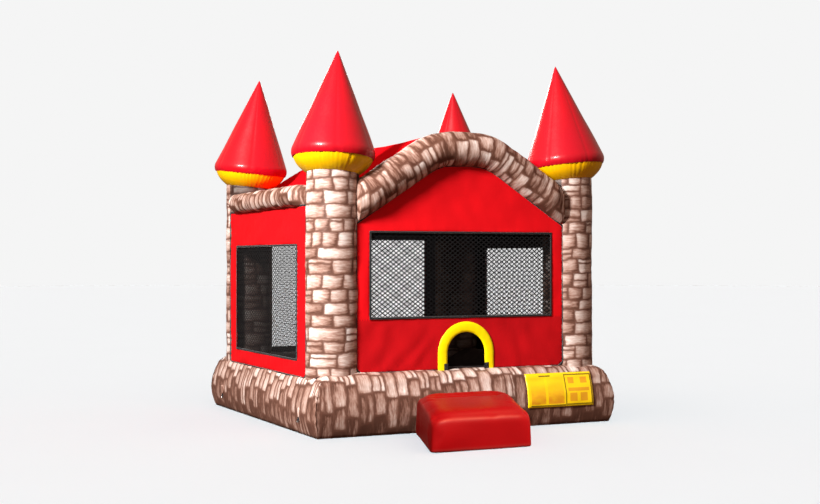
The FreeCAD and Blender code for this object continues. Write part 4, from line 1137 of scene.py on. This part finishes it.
def build_step():
    """Entrance step: blown up as cloth under pressure, then drawn in along its rear seam, flat on the
    ground."""
    unit, faces = rounded_block((44, 52, 18), 28.0, 6.5)
    depth, margin = STEP_BACK - STEP_FRONT, 0.006
    behind = margin + (depth - 2 * margin) * (1 - unit[:, 1]) / 2
    fall = (STEP_H - STEP_LOW) * behind / depth
    half = (STEP_X1 - STEP_X0) / 2 - margin
    x = (STEP_X0 + STEP_X1) / 2 + unit[:, 0] * half - STEP_SKEW * behind / depth
    start = np.stack([x, STEP_BACK - behind, unit[:, 2] * (STEP_H - fall - margin)], axis=1)
    piece = make_piece("entrance_block", start, faces, STEP_RED, ["entrance_step"])
    blow_up(piece, 0.022)
    soft = piece.modifiers.new("soft", "SUBSURF")
    soft.levels = soft.render_levels = 1
    apply_modifiers(piece)
    crest_at, welt_at, groove_at = 0.140, 0.285, 0.312
    x, y, z = place_of(piece).T
    behind = STEP_BACK - y
    share = (x + STEP_SKEW * behind / depth - STEP_X0) / (STEP_X1 - STEP_X0)
    on_top = np.clip((z - 0.28) / 0.12, 0, 1)
    along_seam = np.clip((0.5 - np.abs(share - 0.5) - 0.09) / 0.10, 0, 1)
    crest = 0.010 * np.exp(-((behind - crest_at) / 0.06) ** 2)
    welt = 0.007 * np.exp(-((behind - welt_at) / 0.010) ** 2)
    groove = 0.024 * np.exp(-((behind - groove_at) / 0.013) ** 2)
    lower = 0.046 * eased((behind - 0.12) / 0.18) * np.clip((1.35 - behind) / 1.05, 0, 1)
    z = z + crest * on_top + (welt - groove - lower) * on_top * along_seam
    put(piece, np.stack([x, np.minimum(y, -base_face(z) - 0.004), np.clip(z, 0, STEP_H)], axis=1))
    piece.data.shade_smooth()
    return piece


# ---- air supply and anchors ------------------------------------------------------------------
def build_sleeve():
    """Nylon air sleeve between the base and the blower, cinched by its strap."""
    start = float(base_face(SLEEVE_Z)) - 0.03
    distance = np.linspace(0, SLEEVE_END - start, 110)
    y = start + distance
    path = np.stack([0 * y + SLEEVE_X, y, 0 * y + SLEEVE_Z], axis=1)
    arc = np.linspace(0, math.tau, 80, endpoint=False)[None, :] * SLEEVE_R
    middle = (STRAP_Y0 + STRAP_Y1) / 2
    beside = y[:, None] - middle
    tie = np.exp(-(beside / 0.045) ** 2)
    folds = gathers(arc, 0.045, 61) * (0.003 + 0.012 * np.exp(-np.abs(beside) / 0.09))
    folds = folds * (1 - 0.8 * np.exp(-(beside / 0.022) ** 2))
    soft = 0.004 * ripples(y[:, None] + 0 * arc, arc, 0.25, 62)
    swell = 0.007 * np.sin(np.clip((y[:, None] - start) / (middle - start), 0, 1) * math.pi)
    bend = swell + soft - folds - 0.003 * tie
    finish = (SLEEVE_GREY, "sleeve_vinyl", "inflation_sleeve")
    piece = sweep("air_sleeve", path, 0 * y + SLEEVE_R - 0.002, bend, finish)


def build_sleeve_band():
    """Webbing strap drawn round the sleeve."""
    angles = np.linspace(0, math.tau, 96, endpoint=False)
    section = [(STRAP_Y0, 0.0010), (STRAP_Y0, 0.0036), (STRAP_Y1, 0.0036), (STRAP_Y1, 0.0010)]
    rings = np.zeros((len(section) + 1, len(angles), 3))
    for i, (y, lift) in enumerate(section + section[:1]):
        r = SLEEVE_R + lift
        rings[i, :, 0] = SLEEVE_X + r * np.cos(angles)
        rings[i, :, 1] = y
        rings[i, :, 2] = SLEEVE_Z + r * np.sin(angles)
    run = np.append(angles, math.tau) * SLEEVE_R
    across = rings[..., 1] - (STRAP_Y0 + STRAP_Y1) / 2
    piece = loft("sleeve_band", rings, run, across, WEBBING, ["sleeve_strap"])
    piece.data.shade_flat()


def build_anchor_patch(name, side, end):
    """Vinyl patch welded over the sewn end of an anchor strap."""
    half_wide, half_tall = 0.075, 0.062
    u, v = np.meshgrid(np.linspace(-1, 1, 25), np.linspace(-1, 1, 25), indexing="ij")
    aside = half_wide * u * np.sqrt(1 - v ** 2 / 2)
    y, z = end * ANCHOR_Y + aside, PATCH_Z + half_tall * v * np.sqrt(1 - u ** 2 / 2)
    round_off = np.clip((1 - np.maximum(np.abs(u), np.abs(v))) / 0.12, 0, 1)
    over_strap = np.clip((0.030 - np.abs(aside)) / 0.008, 0, 1)
    lift = 0.001 + round_off * (0.006 + 0.0085 * over_strap)
    out = np.array([[float(base_face(h)) for h in row] for row in z]) + lift
    rings = np.stack([side * out, y, z], axis=2)
    if side < 0:
        rings = rings[:, ::-1]
    loft(name, rings, v[0] * half_tall, y, STONE, closed=False)


def build_zip_teeth():
    """Interlocking teeth of the deflation zip, on the back of a tower."""
    low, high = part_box("zipper_tape")
    x, y = (low[0] + high[0]) / 2, high[1]
    points, faces, pitch, margin = [], [], 0.005, 0.015
    count = int((high[2] - low[2] - 2 * margin) / pitch)
    outline = ((-0.0034, -0.0012), (0.0010, -0.0012), (0.0022, 0.0004), (0.0010, 0.0014), (-0.0034, 0.0010))
    for i in range(count):
        side = 1 if i % 2 else -1
        z = low[2] + margin + i * pitch
        first = len(points)
        for dz in (-0.0012, 0.0012):
            for dx, dy in outline:
                points.append((x + side * -dx, y + dy - 0.0006, z + dz))
        ring = range(5)
        faces += [(first + j, first + (j + 1) % 5, first + 5 + (j + 1) % 5, first + 5 + j) for j in ring]
        faces += [[first + j for j in reversed(ring)], [first + 5 + j for j in ring]]
    piece = make_piece("zip_teeth", points, faces, BLACK)
    piece.data.shade_flat()


def finish_hard_nodes():
    """Materials and eased edges for the CAD pieces that stay."""
    rings = [name for name in NODES if name.startswith("anchor_ring")]
    groups = (
        (ZINC, 0.0008, rings + ["cam_buckle_frame", "cam_buckle_lever", "housing_screws"]),
        (BRASS, 0.0006, ["zipper_slider", "zipper_pull"]),
        (WEBBING, 0.0005, ["anchor_straps"]),
        (NETTING, 0.0004, ["zipper_tape"]),
        (SHELL, 0.004, ["blower_housing_left", "blower_housing_right", "outlet_nozzle"]),
        (BLACK, 0.0012, ["inlet_grille", "impeller", "switch_box", "power_cord_gland", "carry_handle"]),
        (ALLOY, 0.0015, ["motor_casing"]),
        (SWITCH, 0.0012, ["rocker_switch"]),
        (RUBBER, 0.003, ["blower_feet"]),
    )
    for material, width, names in groups:
        for name in names:
            node = NODES[name]
            node.data.materials.clear()
            node.data.materials.append(material)
            bevel = node.modifiers.new("eased", "BEVEL")
            bevel.width, bevel.segments, bevel.limit_method = width, 2, "ANGLE"
            bevel.angle_limit = math.radians(50)


# ---- stage -----------------------------------------------------------------------------------
def build_ground():
    """Pale seamless studio floor, and the glowing dome behind it, which only the camera sees."""
    bpy.ops.mesh.primitive_circle_add(vertices=96, radius=90, fill_type="NGON", location=(0, 0, -0.001))
    ground = bpy.context.object
    ground.name = "studio_ground"
    material, tree, shader, place = new_material("studio_ground")
    tone = noise_of(tree, place, 0.6, 3.0)
    join(tree, shader, blend_colour(tree, tone, (0.845, 0.845, 0.845, 1), (0.855, 0.855, 0.855, 1)), 1.0)
    shader.inputs["Specular IOR Level"].default_value = 0.0
    ground.data.materials.append(material)
    ground.visible_diffuse = ground.visible_glossy = False

    bpy.ops.mesh.primitive_uv_sphere_add(segments=48, ring_count=24, radius=90)
    dome = bpy.context.object
    dome.name = "studio_dome"
    material, tree, shader, place = new_material("studio_dome")
    join(tree, shader, (0, 0, 0, 1), 1.0)
    shader.inputs["Specular IOR Level"].default_value = 0.0
    shader.inputs["Emission Color"].default_value = (0.913, 0.913, 0.913, 1)
    shader.inputs["Emission Strength"].default_value = 1.0
    dome.data.materials.append(material)
    dome.visible_diffuse = dome.visible_glossy = dome.visible_transmission = dome.visible_shadow = False
    return ground


def receivers(name, pieces, state):
    """Light linking's list of the pieces that a light reaches (INCLUDE) or passes by (EXCLUDE)."""
    group = bpy.data.collections.new(name)
    for piece in pieces:
        group.objects.link(piece)
    for entry in group.collection_objects:
        entry.light_linking.link_state = state
    return group


def light(name, kind, place, target, reach, energy, colour=(1, 1, 1), size=0.0):
    """A lamp at place that faces target; an area lamp is a disk."""
    data = bpy.data.lights.new(name, kind)
    data.energy, data.color = energy, colour
    if kind == "AREA":
        data.shape, data.size = "DISK", size
    lamp = bpy.data.objects.new(name, data)
    bpy.context.scene.collection.objects.link(lamp)
    lamp.location = place
    lamp.rotation_euler = (Vector(target) - Vector(place)).to_track_quat("-Z", "Y").to_euler()
    lamp.light_linking.receiver_collection = reach
    lamp.visible_camera = False
    return lamp


def build_lights(ground, step):
    """A key from the front left, a weaker light from behind, a warm surround that is darker below and an even
    light on the floor alone. The step isn't in the key: it has a light from the front and an orange sheen."""
    scene = bpy.context.scene
    scene.view_settings.view_transform = "Standard"
    world = bpy.data.worlds.new("studio")
    scene.world = world
    world.use_nodes = True
    sky = world.node_tree
    height = add(sky, "SeparateXYZ", {0: add(sky, "TexCoord").outputs["Generated"]}).outputs["Z"]
    upper = between(sky, height, -0.25, 0.35)
    glow = blend_colour(sky, upper, (0.13, 0.075, 0.055, 1), (0.50, 0.355, 0.290, 1))
    sky.links.new(glow, sky.nodes["Background"].inputs["Color"])

    house = receivers("all_but_the_ground_and_step", [ground, step], "EXCLUDE")
    not_ground = receivers("all_but_the_ground", [ground], "EXCLUDE")
    only_ground = receivers("the_ground_alone", [ground], "INCLUDE")
    only_step = receivers("the_step_alone", [step], "INCLUDE")
    middle, step_middle = (0, 0, 1.8), (-0.4, -2.9, 0.35)
    light("key", "AREA", (-12.2, -7.3, 9.4), middle, house, 5700, (1.0, 0.985, 0.965), 2.8)
    back = light("back", "AREA", (4.0, 15.0, 9.0), middle, not_ground, 1300, (1.0, 0.93, 0.88), 7.0)
    front = light("front", "AREA", (2.0, -12.5, 10.0), step_middle, only_step, 1850, (1.0, 0.95, 0.93), 3.0)
    sheen = light("sheen", "AREA", (3.0, -8.0, 11.0), step_middle, only_step, 8000, (1.0, 0.36, 0.20), 5.0)
    even = light("even", "SUN", (0, 0, 20), (0, 0, 0), only_ground, 2.48, (0.726, 0.911, 1.0))
    back.data.specular_factor = front.data.specular_factor = 0.0
    sheen.visible_diffuse = False
    even.data.use_shadow = False


def build_camera():
    """The photograph's view: from the front left, at the height of the windows."""
    data = bpy.data.cameras.new("camera")
    data.sensor_width, data.lens = 36.0, 57.15
    data.clip_end = 300
    camera = bpy.data.objects.new("camera", data)
    bpy.context.scene.collection.objects.link(camera)
    camera.location = (-7.378, -15.883, 2.047)
    camera.rotation_euler = (math.radians(90.355), 0, math.radians(-25.28))
    bpy.context.scene.camera = camera


# ---- everything ------------------------------------------------------------------------------
def build_house():
    """Every piece of the house; returns the step, which has its own light."""
    for quarter, name in enumerate(("front", "right", "back", "left")):
        build_base_tube("base_tube_" + name, quarter)
    build_floor()
    for i, (name, (sx, sy)) in enumerate(CORNERS.items()):
        build_tower("tower_" + name, sx, sy, 200 + 10 * i)
        build_collar("collar_" + name, sx, sy, 300 + 10 * i)
        build_cone("cone_" + name, sx, sy, 400 + 10 * i)
        build_anchor_patch("anchor_patch_" + name, sx, sy)
    build_arch("front_arch_tube", -ARCH_Y, 0.0, 51)
    build_arch("back_arch_tube", ARCH_Y, ARCH_DROP, 52)
    build_eave("left_eave_tube", -1, 53)
    build_eave("right_eave_tube", 1, 54)
    build_roof()
    build_walls()
    build_tapes()
    build_trim()
    build_sign()
    build_sleeve()
    build_sleeve_band()
    build_zip_teeth()
    finish_hard_nodes()
    return build_step()


build_camera()
step = build_house()
build_lights(build_ground(), step)
